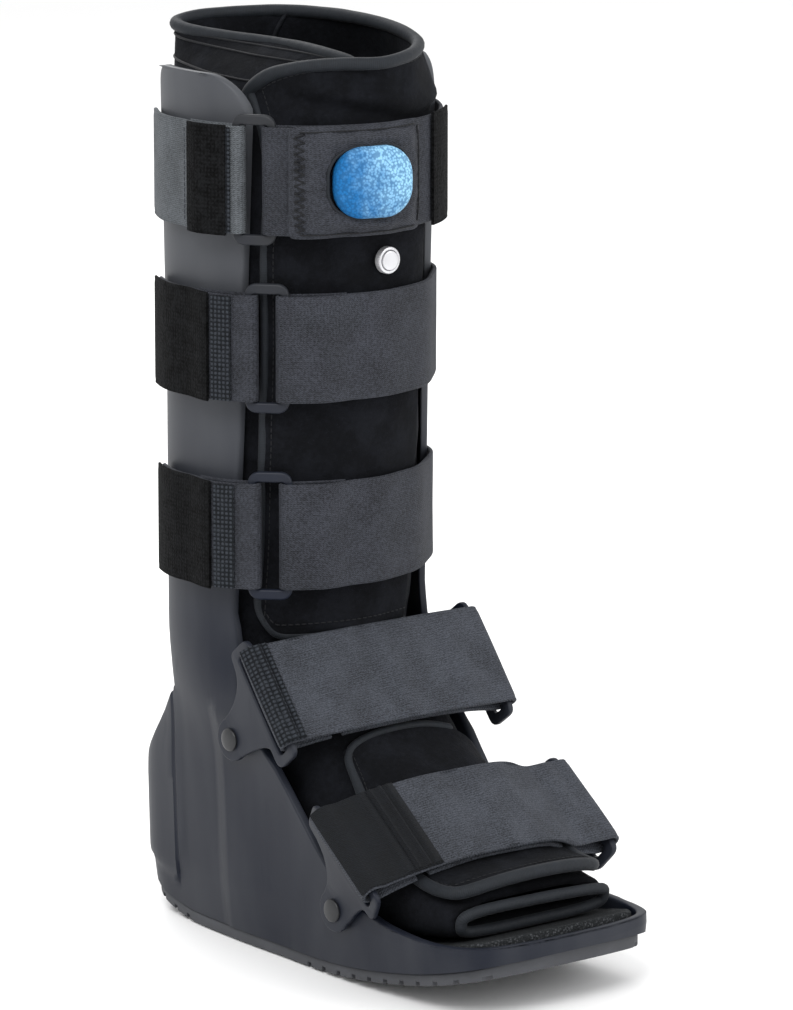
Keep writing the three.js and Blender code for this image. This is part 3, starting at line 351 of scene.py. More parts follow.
@dataclass(frozen=True)
class LoopPlush:
    """Brushed loop fabric laminated to foam: a matted nap, with painted highlights where its fibres would catch
    the light.
    """

    name: str
    colour: Colour
    nap: float = 0.00035

    def material(self) -> bpy.types.Material:
        """Builds the fabric's material."""
        graph = Graph(self.name)
        nap = graph.noise(2600, 3)
        tufts = graph.noise(420, 4)
        matted = graph.noise(60, 3).step(0.35, 0.75)
        # Painted highlights: pale specks where the fibres would catch the light.
        painted_glints = graph.cells(900).step(0.24, 0.08) * tufts.step(0.5, 0.62)
        tone = nap * 0.35 + tufts * 0.4 + matted * 0.25
        colour = graph.colour_between(tone.step(0.32, 0.68), shade(self.colour, 0.6), shade(self.colour, 1.45))
        lit = graph.colour_between(painted_glints * 0.5, colour, shade(self.colour, 4.0))
        coarse = graph.bump(matted * 0.6 + tufts * 0.4, 0.0014, 0.6)
        return graph.finish(
            Base_Color=lit,
            Roughness=0.95,
            Normal=graph.bump(nap, self.nap, 0.8, coarse),
            Sheen_Weight=0.04,
            Sheen_Roughness=0.5,
            Sheen_Tint=(*linear(120, 126, 136), 1),
            Specular_IOR_Level=0.1,
        )


@dataclass(frozen=True)
class WovenWebbing:
    """Nylon webbing: warp ribs along it and weft steps across, with uneven, heathered yarns."""

    name: str
    colour: Colour
    warp: float = 0.0009
    weft: float = 0.0015
    heather: float = 0.35
    yarn: float = 1000.0

    def material(self) -> bpy.types.Material:
        """Builds the webbing's material."""
        graph = Graph(self.name)
        along, across = graph.cloth()
        twill = along / self.weft + across / self.warp
        ribs = (across * (TAU / self.warp)).sine() * 0.5 + 0.5
        steps = (twill * TAU).sine() * 0.5 + 0.5
        uneven = graph.noise(self.yarn, 3)
        bands = graph.noise(60, 3).step(0.3, 0.7)
        weave = ribs * 0.45 + steps * 0.55
        tone = weave * (1 - self.heather) + uneven.step(0.36, 0.64) * self.heather
        tone = tone * 0.8 + bands * 0.2
        colour = graph.colour_between(tone, shade(self.colour, 0.18), shade(self.colour, 1.95))
        coarse = graph.bump(bands, 0.0012, 0.3)
        return graph.finish(
            Base_Color=colour,
            Roughness=0.86 - weave * 0.12,
            Normal=graph.bump(weave * 0.6 + uneven * 0.4, 0.0005, 0.9, coarse),
            Sheen_Weight=0.03,
            Sheen_Roughness=0.45,
            Sheen_Tint=(*linear(150, 156, 168), 1),
            Specular_IOR_Level=0.25,
        )


@dataclass(frozen=True)
class HookTape:
    """Hook tape: dense rows of stiff little hooks."""

    name: str
    colour: Colour
    pitch: float = 0.0019
    tangled: float = 0.8
    tones: tuple[float, float] = (0.2, 2.6)

    def material(self) -> bpy.types.Material:
        """Builds the hook tape's material."""
        graph = Graph(self.name)
        along, across = graph.cloth()
        turns = TAU / self.pitch
        rows = ((along * turns).sine() + 1) * ((across * turns).sine() + 1)
        tangle = graph.noise(760, 4)
        patchy = graph.noise(190, 3)
        height = (rows * 0.3 + 0.2) * (1 - self.tangled) + tangle * self.tangled
        tone = (height * (1 - self.tangled * 0.5) + patchy * (self.tangled * 0.5)).step(0.32, 0.68)
        colour = graph.colour_between(tone, *(shade(self.colour, gain) for gain in self.tones))
        return graph.finish(
            Base_Color=colour,
            Roughness=0.85,
            Normal=graph.bump(height, 0.0009, 1.0, graph.bump(patchy, 0.0014, 0.6)),
            Specular_IOR_Level=0.08,
        )


@dataclass(frozen=True)
class RolledBinding:
    """Folded tape over a cord: fine cross ribs and a soft satin shine."""

    name: str
    colour: Colour
    pitch: float = 0.0008

    def material(self) -> bpy.types.Material:
        """Builds the binding's material."""
        graph = Graph(self.name)
        along, _ = graph.cloth()
        ribs = (along * (TAU / self.pitch)).sine() * 0.5 + 0.5
        puckers = graph.noise(240, 3)
        tone = ribs * 0.35 + puckers * 0.65
        colour = graph.colour_between(tone.step(0.25, 0.75), shade(self.colour, 0.75), shade(self.colour, 1.25))
        return graph.finish(
            Base_Color=colour,
            Roughness=0.62 + puckers * 0.12,
            Normal=graph.bump(ribs, 0.0001, 0.5, graph.bump(puckers, 0.0008, 0.5)),
            Sheen_Weight=0.03,
            Sheen_Roughness=0.4,
            Specular_IOR_Level=0.2,
        )


@dataclass(frozen=True)
class WornFelt:
    """The insole's felt cover, its cut edge fuzzed into pale specks."""

    name: str
    colour: Colour
    edge: float

    def material(self) -> bpy.types.Material:
        """Builds the felt's material."""
        graph = Graph(self.name)
        _, across = graph.cloth()
        fibres = graph.noise(1500, 4)
        specks = graph.cells(900).step(0.6, 0.15) * graph.noise(300, 2).step(0.4, 0.58)
        fuzz = specks * across.step(self.edge * MM, 0.0) * 0.4
        base = graph.colour_between(fibres.step(0.3, 0.7), shade(self.colour, 0.6), shade(self.colour, 1.4))
        mixed = graph.colour_between(fuzz, base, linear(112, 114, 118))
        return graph.finish(
            Base_Color=mixed,
            Roughness=0.95,
            Normal=graph.bump(fibres, 0.0006, 0.9),
            Specular_IOR_Level=0.08,
        )


@dataclass(frozen=True)
class PebbledBulb:
    """Dyed leather-grained rubber: domed pebbles with painted shade in the grooves between them, deep in colour
    at one end and pale at the other.
    """

    name: str
    deep: Colour
    pale: Colour

    def material(self) -> bpy.types.Material:
        """Builds the bulb's material."""
        graph = Graph(self.name)
        along, across = graph.cloth()
        pebbles = graph.cells(800, 0.25)
        fine = graph.noise(2400, 2)
        blotch = graph.noise(130, 4)
        # The colour runs from deep at one end of the bulb to pale at the other.
        deep_to_pale = (along * 22.0 + across * 5.0 + blotch * 0.8).step(0.1, 0.85)
        base = graph.colour_between(deep_to_pale, self.deep, self.pale)
        # Painted shade: the colour darkens in the grooves between the pebbles.
        grain = graph.colour_between(pebbles.step(0.3, 0.7) * 0.6, base, shade(self.deep, 0.5))
        height = (1 - pebbles) * 0.85 + fine * 0.15
        return graph.finish(
            Base_Color=grain,
            Roughness=0.62 + pebbles * 0.2,
            Normal=graph.bump(height, 0.0004, 0.7, graph.bump(blotch, 0.001, 0.4)),
            Specular_IOR_Level=0.3,
        )


@dataclass(frozen=True)
class SatinMetal:
    """Plated or painted metal with fine handling marks."""

    name: str
    colour: Colour
    metallic: float
    roughness: float

    def material(self) -> bpy.types.Material:
        """Builds the metal's material."""
        graph = Graph(self.name)
        marks = graph.noise(700, 4, (1, 1, 0.2))
        cloud = graph.noise(120, 3)
        colour = graph.colour_between(cloud, shade(self.colour, 0.86), shade(self.colour, 1.12))
        return graph.finish(
            Base_Color=colour,
            Metallic=self.metallic,
            Roughness=self.roughness - 0.05 + marks * 0.14,
            Normal=graph.bump(marks, 0.00005, 0.5),
        )


class Wardrobe:
    """Every finish of the boot, each built once."""

    def __init__(self) -> None:
        """Builds the materials."""
        charcoal, black = linear(78, 80, 84, 0.42), linear(64, 66, 70, 0.2)
        calf, instep = linear(70, 73, 82, 0.36), linear(80, 84, 93, 0.42)
        deep, pale = linear(0, 112, 182, 0.7), linear(150, 203, 236, 0.9)
        # The shell and hardware plastics carry painted shade, darker towards the foot.
        self.shell = MouldedPlastic("shell_nylon", charcoal).material()
        self.hardware = MouldedPlastic("hardware_nylon", black, 0.42, 2400, 0.00004, 0.6).material()
        self.sole = TreadRubber("sole_rubber", linear(84, 86, 92, 0.5)).material()
        self.insole = WornFelt("insole_felt", linear(48, 50, 52, 0.62), 13.0).material()
        self.plush = LoopPlush("liner_loop", linear(30, 32, 38, 0.34)).material()
        self.lining = LoopPlush("lining_brushed", linear(40, 42, 47, 0.45), 0.0002).material()
        self.calf = WovenWebbing("calf_webbing", calf, heather=0.5).material()
        self.bright = WovenWebbing("tab_webbing", linear(82, 86, 90, 0.78), heather=0.3).material()
        self.dim = WovenWebbing("sewn_end_webbing", linear(38, 46, 58, 0.1), heather=0.4).material()
        self.instep = WovenWebbing("instep_webbing", instep, 0.0013, 0.0017, 0.58, 1400).material()
        self.hook = HookTape("hook_tape", linear(32, 33, 35, 0.2)).material()
        self.dotted = HookTape("dotted_tape", linear(58, 62, 68, 0.46), 0.0021, 0.4, (0.4, 1.9)).material()
        self.binding = RolledBinding("rolled_binding", linear(50, 55, 62, 0.38)).material()
        self.thread = RolledBinding("thread", linear(84, 88, 96, 0.5), 0.0004).material()
        self.dark_thread = RolledBinding("dark_thread", linear(22, 23, 26), 0.0004).material()
        self.bulb = PebbledBulb("bulb_rubber", deep, pale).material()
        self.rivet = SatinMetal("rivet_steel", linear(60, 62, 66, 0.3), 0.2, 0.38).material()
        self.valve = SatinMetal("valve_silver", linear(205, 205, 208), 0.55, 0.34).material()


# Meshes


class Draft:
    """Points and faces gathered for one piece, in millimetres."""

    def __init__(self) -> None:
        """Starts empty."""
        self.points: list[Array] = []
        self.cloth: list[Array] = []
        self.faces: list[tuple[int, ...]] = []
        self.count = 0

    def add(self, points: Array, cloth: Array | None = None) -> Array:
        """Adds an array of points.

        Args:
            points: any shape that ends in 3.
            cloth: the place of each along and across the cloth, of the same shape with 2.

        Returns:
            The points' numbers, in the same shape.
        """
        shape = points.shape[:-1]
        flat = points.reshape(-1, 3)
        self.points.append(flat)
        self.cloth.append(np.zeros((len(flat), 2)) if cloth is None else cloth.reshape(-1, 2))
        first = self.count
        self.count += len(flat)
        return np.arange(first, self.count).reshape(shape)

    def grid(self, index: Array, wrap_rows: bool = False, wrap_columns: bool = False) -> None:
        """Joins a grid of point numbers with quads.

        Args:
            index: the numbers, row by row.
            wrap_rows: whether the last row joins the first.
            wrap_columns: whether the last column joins the first.
        """
        if wrap_rows:
            index = np.concatenate([index, index[:1]])
        if wrap_columns:
            index = np.concatenate([index, index[:, :1]], axis=1)
        quads = np.stack([index[:-1, :-1], index[:-1, 1:], index[1:, 1:], index[1:, :-1]], axis=-1)
        self.faces += [tuple(q) for q in quads.reshape(-1, 4).tolist()]

    def fan(self, loop: Array) -> None:
        """Closes a loop with triangles round its middle."""
        points = np.concatenate(self.points)
        hub = int(self.add(points[loop].mean(axis=0)[None])[0])
        self.faces += [(int(a), int(b), hub) for a, b in zip(loop, np.roll(loop, -1))]

    def build(self, name: str) -> bpy.types.Object:
        """Makes the object, its faces turned outwards.

        Args:
            name: the piece's name.

        Returns:
            The new object, in metres.
        """
        mesh = bpy.data.meshes.new(name)
        mesh.from_pydata((np.concatenate(self.points) * MM).tolist(), [], self.faces)
        layer = mesh.attributes.new(CLOTH, "FLOAT_VECTOR", "POINT")
        flat = np.concatenate(self.cloth) * MM
        layer.data.foreach_set("vector", np.column_stack([flat, np.zeros(len(flat))]).ravel())
        obj = bpy.data.objects.new(name, mesh)
        bpy.context.scene.collection.objects.link(obj)
        clean(obj)
        return obj


def clean(obj: bpy.types.Object) -> None:
    """Welds an object's double points and turns its faces outwards."""
    work = bmesh.new()
    work.from_mesh(obj.data)
    bmesh.ops.remove_doubles(work, verts=work.verts, dist=WELD)
    bmesh.ops.dissolve_degenerate(work, edges=work.edges, dist=WELD)
    bmesh.ops.recalc_face_normals(work, faces=work.faces)
    work.to_mesh(obj.data)
    work.free()


def modify(obj: bpy.types.Object, kind: str, **settings: object) -> None:
    """Adds one modifier and applies it.

    Args:
        obj: the object.
        kind: the modifier's type.
        settings: its properties.
    """
    modifier = obj.modifiers.new(kind.lower(), kind)
    for key, value in settings.items():
        setattr(modifier, key, value)
    depsgraph = bpy.context.evaluated_depsgraph_get()
    made = bpy.data.meshes.new_from_object(obj.evaluated_get(depsgraph), depsgraph=depsgraph)
    obj.modifiers.clear()
    obj.data = made


def smooth_shade(obj: bpy.types.Object, angle: float) -> None:
    """Shades smoothly, with sharp edges past an angle in degrees."""
    obj.data.shade_smooth()
    obj.data.set_sharp_from_angle(angle=math.radians(angle))


def points_of(obj: bpy.types.Object) -> Array:
    """The object's points, in millimetres."""
    flat = np.empty(len(obj.data.vertices) * 3)
    obj.data.vertices.foreach_get("co", flat)
    return flat.reshape(-1, 3) / MM


def move_points(obj: bpy.types.Object, points: Array) -> None:
    """Gives the object's points new places, in millimetres."""
    obj.data.vertices.foreach_set("co", (points * MM).ravel())
    obj.data.update()


def swell(obj: bpy.types.Object, height: Callable[[Array], Array]) -> None:
    """Moves each point along its normal.

    Args:
        obj: the object.
        height: gives the distance in millimetres for an array of places.
    """
    places = points_of(obj)
    normals = np.empty(len(places) * 3)
    obj.data.vertices.foreach_get("normal", normals)
    move_points(obj, places + normals.reshape(-1, 3) * height(places)[:, None])


def clouds(places: Array, size: float, seed: float = 0.0) -> Array:
    """Smooth noise from -1 to 1.

    Args:
        places: points in millimetres.
        size: the size of one cloud.
        seed: moves the pattern.

    Returns:
        One value for each point.
    """
    shift = Vector((seed, 1.7 * seed, 0.3 * seed))
    return np.array([noise.noise(Vector(p) / size + shift) for p in places])


def piece(
    obj: bpy.types.Object,
    material: bpy.types.Material,
    replaces: Sequence[str] = (),
    body: Body = Body.BOOT,
    angle: float | None = None,
) -> None:
    """Dresses a finished object and ties it to the frame.

    Args:
        obj: the object.
        material: its material.
        replaces: the solids that it stands for.
        body: the body that it moves with.
        angle: the angle in degrees past which its edges stay sharp, or None where it is shaded already.
    """
    if angle is not None:
        smooth_shade(obj, angle)
    obj.data.materials.clear()
    obj.data.materials.append(material)
    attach(obj, body.value)
    if replaces:
        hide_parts(*replaces)
    log.info("%s: %d faces", obj.name, len(obj.data.polygons))


def lengths(line: Array) -> Array:
    """The length along a line at each of its points."""
    return np.concatenate([[0], np.cumsum(np.linalg.norm(np.diff(line, axis=0), axis=1))])


def spaced(line: Array, step: float) -> Array:
    """A line through the same places with points a step apart."""
    along = lengths(line)
    at = np.linspace(0, along[-1], max(3, int(round(along[-1] / step)) + 1))
    return np.column_stack([np.interp(at, along, line[:, k]) for k in range(line.shape[1])])


def curve_through(points: Sequence[Sequence[float]], closed: bool = False, per: int = 12) -> Array:
    """A smooth line through chosen points, by centripetal Catmull-Rom segments.

    Args:
        points: the points.
        closed: whether it runs back to its start.
        per: points for each segment.

    Returns:
        The line's points; a closed line doesn't repeat its first.
    """
    p = np.asarray(points, float)
    ends = (p[-1:], p[:2]) if closed else (2 * p[:1] - p[1:2], 2 * p[-1:] - p[-2:-1])
    q = np.concatenate([ends[0], p, ends[1]])
    out = []
    for i in range(len(q) - 3):
        a, b, c, d = q[i : i + 4]
        t1 = max(np.linalg.norm(b - a), 1e-6) ** 0.5
        t2 = t1 + max(np.linalg.norm(c - b), 1e-6) ** 0.5
        t3 = t2 + max(np.linalg.norm(d - c), 1e-6) ** 0.5
        t = np.linspace(t1, t2, per, endpoint=False)[:, None]
        ab = a + (b - a) * t / t1
        bc = b + (c - b) * (t - t1) / (t2 - t1)
        cd = c + (d - c) * (t - t2) / (t3 - t2)
        abc = ab + (bc - ab) * t / t2
        bcd = bc + (cd - bc) * (t - t1) / (t3 - t1)
        out.append(abc + (bcd - abc) * (t - t1) / (t2 - t1))
    line = np.concatenate(out)
    return line if closed else np.concatenate([line, p[-1:]])


def relaxed(line: Array, times: int) -> Array:
    """A line with its corners eased and its ends kept."""
    for _ in range(times):
        line[1:-1] = (line[:-2] + 2 * line[1:-1] + line[2:]) / 4
    return line


def loft(rings: Array, along: Array | None = None, loop: bool = False) -> Draft:
    """A solid through rings of as many points each.

    Args:
        rings: rings by points by 3.
        along: each ring's place along the cloth, or None to measure it on the rings.
        loop: whether the last ring joins the first; otherwise fans close both ends.

    Returns:
        The draft.
    """
    draft = Draft()
    along = lengths(rings[:, 0]) if along is None else along
    turn = np.linspace(0, 1, rings.shape[1])
    cloth = np.stack(np.broadcast_arrays(along[:, None], turn[None] * 10), axis=-1)
    index = draft.add(rings, cloth)
    draft.grid(index, wrap_rows=loop, wrap_columns=True)
    if not loop:
        draft.fan(index[0])
        draft.fan(index[-1])
    return draft


def turned(profile: Sequence[tuple[float, float]], sides: int, knurl: float = 0.0) -> Draft:
    """A turned form round its own axis.

    Args:
        profile: radius and place along the axis, row by row.
        sides: points round it.
        knurl: the depth of the knurls on its widest rows.

    Returns:
        The draft.
    """
    turn = np.linspace(0, TAU, sides, endpoint=False)
    widest = max(r for r, _ in profile)
    rings = []
    for r, place in profile:
        reach = r - knurl * (r > widest - 0.4) * (0.5 + 0.5 * np.sin(turn * 32))
        rings.append(np.column_stack([reach * np.cos(turn), reach * np.sin(turn), np.full(sides, place)]))
    return loft(np.array(rings))


def tube(line: Array, radius: Union[float, Array], closed: bool = False, sides: int = 12) -> Draft:
    """A round cord along a line, its ends rounded.

    Args:
        line: the points of the middle.
        radius: one radius, or one for each point.
        closed: whether the line is a loop.
        sides: points round the cord.

    Returns:
        The draft.
    """
    if not closed:
        r = float(np.mean(radius))
        head, tail = (d / np.linalg.norm(d) * r * 0.6 for d in (line[0] - line[1], line[-1] - line[-2]))
        line = np.concatenate([[line[0] + head], line, [line[-1] + tail]])
        radius = np.concatenate([[r * 0.4], np.broadcast_to(radius, len(line) - 2), [r * 0.4]])
    ahead = np.roll(line, -1, axis=0) - np.roll(line, 1, axis=0)
    if not closed:
        ahead[0], ahead[-1] = line[1] - line[0], line[-1] - line[-2]
    ahead /= np.linalg.norm(ahead, axis=1)[:, None]
    across = np.cross(UP, ahead)
    if np.linalg.norm(across[0]) < 0.3:
        across[0] = np.cross(np.array([0, 1.0, 0]), ahead[0])
    for i in range(1, len(across)):
        across[i] = across[i - 1] - ahead[i] * (across[i - 1] @ ahead[i])
    across /= np.linalg.norm(across, axis=1)[:, None]
    third = np.cross(ahead, across)
    angle = np.linspace(0, TAU, sides, endpoint=False)[None, :, None]
    size = np.broadcast_to(radius, len(line))[:, None, None]
    rings = line[:, None] + size * (np.cos(angle) * across[:, None] + np.sin(angle) * third[:, None])
    return loft(rings, lengths(line), closed)


def padded_sheet(
    place: Callable[[Array, Array, float], Array], size: tuple[float, float], step: float, name: str
) -> bpy.types.Object:
    """A soft sheet of some thickness with rounded edges.

    Args:
        place: gives points for grids of u and v from 0 to 1 and a depth of 0, inside, or 1, outside.
        size: its rough length and height in millimetres.
        step: the size of a face.
        name: the piece's name.

    Returns:
        The object.
    """
    nu, nv = max(4, int(size[0] / step)), max(4, int(size[1] / step))
    u, v = np.meshgrid(np.linspace(0, 1, nu + 1), np.linspace(0, 1, nv + 1))
    draft = Draft()
    cloth = np.stack([u * size[0], v * size[1]], axis=-1)
    inner, outer = (draft.add(place(u, v, depth), cloth) for depth in (0.0, 1.0))
    draft.grid(inner)
    draft.grid(outer)
    rim = [np.concatenate([g[0, :-1], g[:-1, -1], g[-1, :0:-1], g[:0:-1, 0]]) for g in (inner, outer)]
    draft.grid(np.stack(rim), wrap_columns=True)
    obj = draft.build(name)
    modify(obj, "SUBSURF", levels=1, render_levels=1)
    return obj


def stitches(name: str, lines: Sequence[Array], pitch: float, share: float, radius: float) -> bpy.types.Object:
    """Rows of stitches, each a small capsule half sunk in the cloth.

    Args:
        name: the piece's name.
        lines: the seams.
        pitch: from one stitch to the next.
        share: how much of the pitch the thread covers.
        radius: the thread's radius.

    Returns:
        The object.
    """
    draft = Draft()
    for line in lines:
        along = lengths(line)
        for start in np.arange(pitch / 2, along[-1] - pitch / 2, pitch):
            at = start + np.linspace(0, pitch * share, 4)
            short = np.column_stack([np.interp(at, along, line[:, k]) for k in range(3)])
            one = tube(short, np.array([0.75, 1, 1, 0.75]) * radius, sides=6)
            base = draft.count
            draft.add(np.concatenate(one.points), np.concatenate(one.cloth))
            draft.faces += [tuple(i + base for i in face) for face in one.faces]
    return draft.build(name)


def plate(name: str, outline: Array, holes: Sequence[Array], depth: float, edge: float) -> bpy.types.Object:
    """A flat plate with rounded edges, in its own plane, its back at 0.

    Args:
        name: the piece's name.
        outline: its outline.
        holes: the outlines of its holes.
        depth: its thickness.
        edge: the radius of its edges.

    Returns:
        The object, in metres.
    """
    curve = bpy.data.curves.new(name, "CURVE")
    curve.dimensions = "2D"
    curve.fill_mode = "BOTH"
    curve.extrude = (depth / 2 - edge) * MM
    curve.bevel_depth = edge * MM
    curve.bevel_resolution = 3
    curve.offset = -edge * MM
    for loop in [outline, *holes]:
        spline = curve.splines.new("POLY")
        spline.points.add(len(loop) - 1)
        spline.use_cyclic_u = True
        for point, (x, y) in zip(spline.points, loop):
            point.co = (x * MM, y * MM, 0, 1)
    holder = bpy.data.objects.new(name, curve)
    bpy.context.scene.collection.objects.link(holder)
    depsgraph = bpy.context.evaluated_depsgraph_get()
    mesh = bpy.data.meshes.new_from_object(holder.evaluated_get(depsgraph), depsgraph=depsgraph)
    bpy.data.objects.remove(holder)
    obj = bpy.data.objects.new(name, mesh)
    bpy.context.scene.collection.objects.link(obj)
    clean(obj)
    move_points(obj, points_of(obj) + np.array([0, 0, depth / 2]))
    return obj


def rounded(width: float, height: float, radius: float, middle: tuple[float, float] = (0, 0)) -> Array:
    """The outline of a rectangle with round corners."""
    quarter = np.linspace(0, math.pi / 2, 9)
    out = []
    for k, (sx, sy) in enumerate([(1, 1), (-1, 1), (-1, -1), (1, -1)]):
        a = quarter + k * math.pi / 2
        x, y = sx * (width / 2 - radius), sy * (height / 2 - radius)
        out.append(np.column_stack([x + radius * np.cos(a), y + radius * np.sin(a)]))
    return np.concatenate(out) + np.array(middle)


def stand(obj: bpy.types.Object, along: Array, up: Array, out: Array, at: Array) -> None:
    """Stands an object that was made in its own plane on three directions at a place in millimetres."""
    p = points_of(obj)
    move_points(obj, p[:, :1] * along + p[:, 1:2] * up + p[:, 2:3] * out + at)


# The forms that the pieces share


def smoothstep(x: Array, low: float, high: float) -> Array:
    """An eased step from 0 at low to 1 at high."""
    t = np.clip((np.asarray(x, float) - low) / (high - low), 0, 1)
    return t * t * (3 - 2 * t)


@dataclass
class BootForm:
    """The sections of the boot: the foot's outline, the shell's plan, the leg and the foot of the liner."""

    foot_length: float = 287
    heel_back: float = 105
    ball_half: float = 62
    heel_half: float = 51
    flat_back: float = 41
    flat_front: float = -36
    heel_rocker: float = 130
    toe_rocker: float = 480
    sole_thickness: float = 6
    shell_floor: float = 5
    shell_wall: float = 4
    insole_thickness: float = 6.5
    ankle_height: float = 118
    counter_height: float = 77
    toe_rim_height: float = 35
    shell_top: float = 420
    leg_centre: float = 25
    upright_half: float = 63
    upright_flare: float = 3
    upright_depth: float = 58
    upright_front: tuple[float, float] = (3, -9)
    upright_back: float = 54.5
    fullness: float = 2.3
    liner_top: float = 424.5
    rim_tilt: float = 5.5
    liner_wall: float = 7
    liner_back: float = 88
    liner_front: float = 36
    foot_liner_half: float = 50
    instep_height: float = 150
    flap_from: float = 0.352
    flap_to: float = 0.575
    flap_top: float = 0.64
    flap_thickness: float = 3.5
    flap_inner: float = 0.75
    gap: float = 0.3
    foot_outline: tuple[tuple[float, float, float], ...] = (
        (0, 51, 0), (0.52, 51, 0.012), (0.87, 51, 0.062), (1, 51, 0.16), (0.9, 62, 0.32), (0.93, 62, 0.48),
        (0.99, 62, 0.66), (1, 62, 0.8), (0.98, 62, 0.91), (0.83, 62, 0.972), (0.44, 62, 0.996), (0, 62, 1),
    )
    leg_levels: tuple[tuple[float, float, float, float], ...] = (
        (0.1, 0.9, 1.0, 1.05), (0.28, 0.94, 0.92, 1.0), (0.34, 0.97, 0.73, 0.96), (0.4, 1, 0.8, 0.94),
        (0.46, 1, 0.855, 0.94), (0.58, 1, 0.92, 0.98), (0.69, 1, 0.975, 1.0), (0.79, 1, 1.0, 1.02),
        (0.87, 0.98, 1.06, 1.03), (0.935, 0.98, 1.07, 1.02), (0.975, 0.99, 1.06, 1.0), (1, 1.02, 1.0, 1.0),
    )
    foot_stations: tuple[tuple[float, float, float, float], ...] = (
        (0.022, 0.4, 0.3, 0.12), (0.055, 0.76, 0.58, 0.03), (0.13, 0.9, 0.8, 0), (0.38, 0.97, 0.95, 0),
        (0.45, 0.98, 0.94, 0), (0.505, 0.98, 0.78, 0), (0.56, 0.98, 0.62, 0), (0.64, 1, 0.5, 0),
        (0.73, 1, 0.36, 0), (0.81, 0.97, 0.213, 0), (0.8746, 0.93, 0.1523, 0),
    )
    outline: Array = field(init=False)

    def __post_init__(self) -> None:
        """Draws the foot's outline once."""
        points = [(-across * of, self.fore(ahead)) for across, of, ahead in self.foot_outline]
        self.outline = curve_through(points, per=24)

    def fore(self, share: float) -> float:
        """The place along Y at a share of the foot's length from the heel."""
        return self.heel_back - share * self.foot_length

    def sole_line(self, y: Array) -> Array:
        """The height of the sole's underside."""
        y = np.asarray(y, float)
        back = np.maximum(0, y - self.flat_back) ** 2 / (2 * self.heel_rocker)
        front = np.maximum(0, self.flat_front - y) ** 2 / (2 * self.toe_rocker)
        return back + front

    def oval(self, turn: Array, half: Array, front: Array, back: Array, fullness: float) -> Array:
        """A rounded oval round the leg's centre.

        Args:
            turn: angles from the back over the right side.
            half: half its width.
            front: its reach ahead of the centre.
            back: its reach behind the centre.
            fullness: 2 for an ellipse, more for a squarer one.

        Returns:
            X and Y.
        """
        s, c = np.sin(turn), np.cos(turn)
        bend = lambda v: np.sign(v) * np.abs(v) ** (2 / fullness)
        return np.stack([-half * bend(s), self.leg_centre + bend(c) * np.where(c > 0, back, front)], axis=-1)

    def half_over(self, z: Array) -> Array:
        """Half the width over the uprights."""
        low = (self.ankle_height + self.shell_top) / 2
        return self.upright_half + self.upright_flare * np.clip((z - low) / (self.shell_top - low), 0, 1)

    def plan(self, share: Array, z: Array, inset: float = 0.0) -> Array:
        """The shell's plan: shares run from the heel over the right side and back.

        Args:
            share: shares of the way round.
            z: heights.
            inset: how far it is drawn in.

        Returns:
            X and Y.
        """
        share, z = np.broadcast_arrays(np.asarray(share, float), np.asarray(z, float))
        levels = np.array([-8, 9, 30, self.counter_height, 97.5, self.ankle_height, 144.0])
        tuck = np.interp(z, levels[:4], [1.8, 1, 0.4, 0])
        blend = lambda h: np.interp(h, levels[2:], [0, 0.06, 0.34, 0.8, 1])
        leg = (blend(z - 9) + blend(z - 4) + blend(z) + blend(z + 4) + blend(z + 9)) / 5
        near = np.where(share <= 0.5, 2 * share, 2 - 2 * share) * (len(self.outline) - 1)
        count = np.arange(len(self.outline))
        fx = np.interp(near, count, self.outline[:, 0]) * np.where(share <= 0.5, 1, -1)
        fy = np.interp(near, count, self.outline[:, 1])
        shrink = inset + tuck * self.shell_wall
        fx = fx * (1 - shrink / self.ball_half)
        fy = fy + (self.fore(0.5) - fy) * shrink / (self.foot_length / 2)
        depth = self.upright_depth - inset
        leg_xy = self.oval(share * TAU, self.half_over(z) - inset, depth, depth, self.fullness)
        return np.stack([fx, fy], axis=-1) * (1 - leg)[..., None] + leg_xy * leg[..., None]

    def share_at(self, y: float, z: float, inset: float = 0.0) -> float:
        """The share on the right side at which the shell's plan passes a place along Y."""
        s = np.linspace(0, 0.5, 500)
        return float(np.interp(-y, -self.plan(s, z, inset)[:, 1], s))

    def half_width(self, y: Array, z: Array, inset: float = 0.0) -> Array:
        """Half the shell's width at places of the side view."""
        s = np.linspace(0, 0.5, 300)
        out = np.empty(len(y))
        for k in np.unique(np.round(z)):
            rows = np.round(z) == k
            p = self.plan(s, k, inset)
            out[rows] = np.interp(-y[rows], -p[:, 1], -p[:, 0])
        return out

    def front_edge(self, z: Array) -> Array:
        """The front edge of an upright."""
        share = (z - self.ankle_height) / (self.shell_top - self.ankle_height)
        return self.upright_front[0] + (self.upright_front[1] - self.upright_front[0]) * share

    def flap_edge(self, z: Array) -> Array:
        """The turn at which the front flap ends on the left."""
        return self.flap_to + (self.flap_top - self.flap_to) * smoothstep(z / self.liner_top, 0.79, 1)

    def outward(self, points: Array, across: float = 0.0) -> Array:
        """Level directions away from an upright line in the leg.

        Args:
            points: the places.
            across: the line's place along X.

        Returns:
            A direction for each place.
        """
        out = points - np.array([across, self.leg_centre, 0])
        out[..., 2] = 0
        return out / np.maximum(np.linalg.norm(out, axis=-1), 1)[..., None]

    @property
    def insole_top(self) -> float:
        """The height of the insole over the sole's line."""
        return self.sole_thickness + self.shell_floor + self.insole_thickness + 2 * self.gap

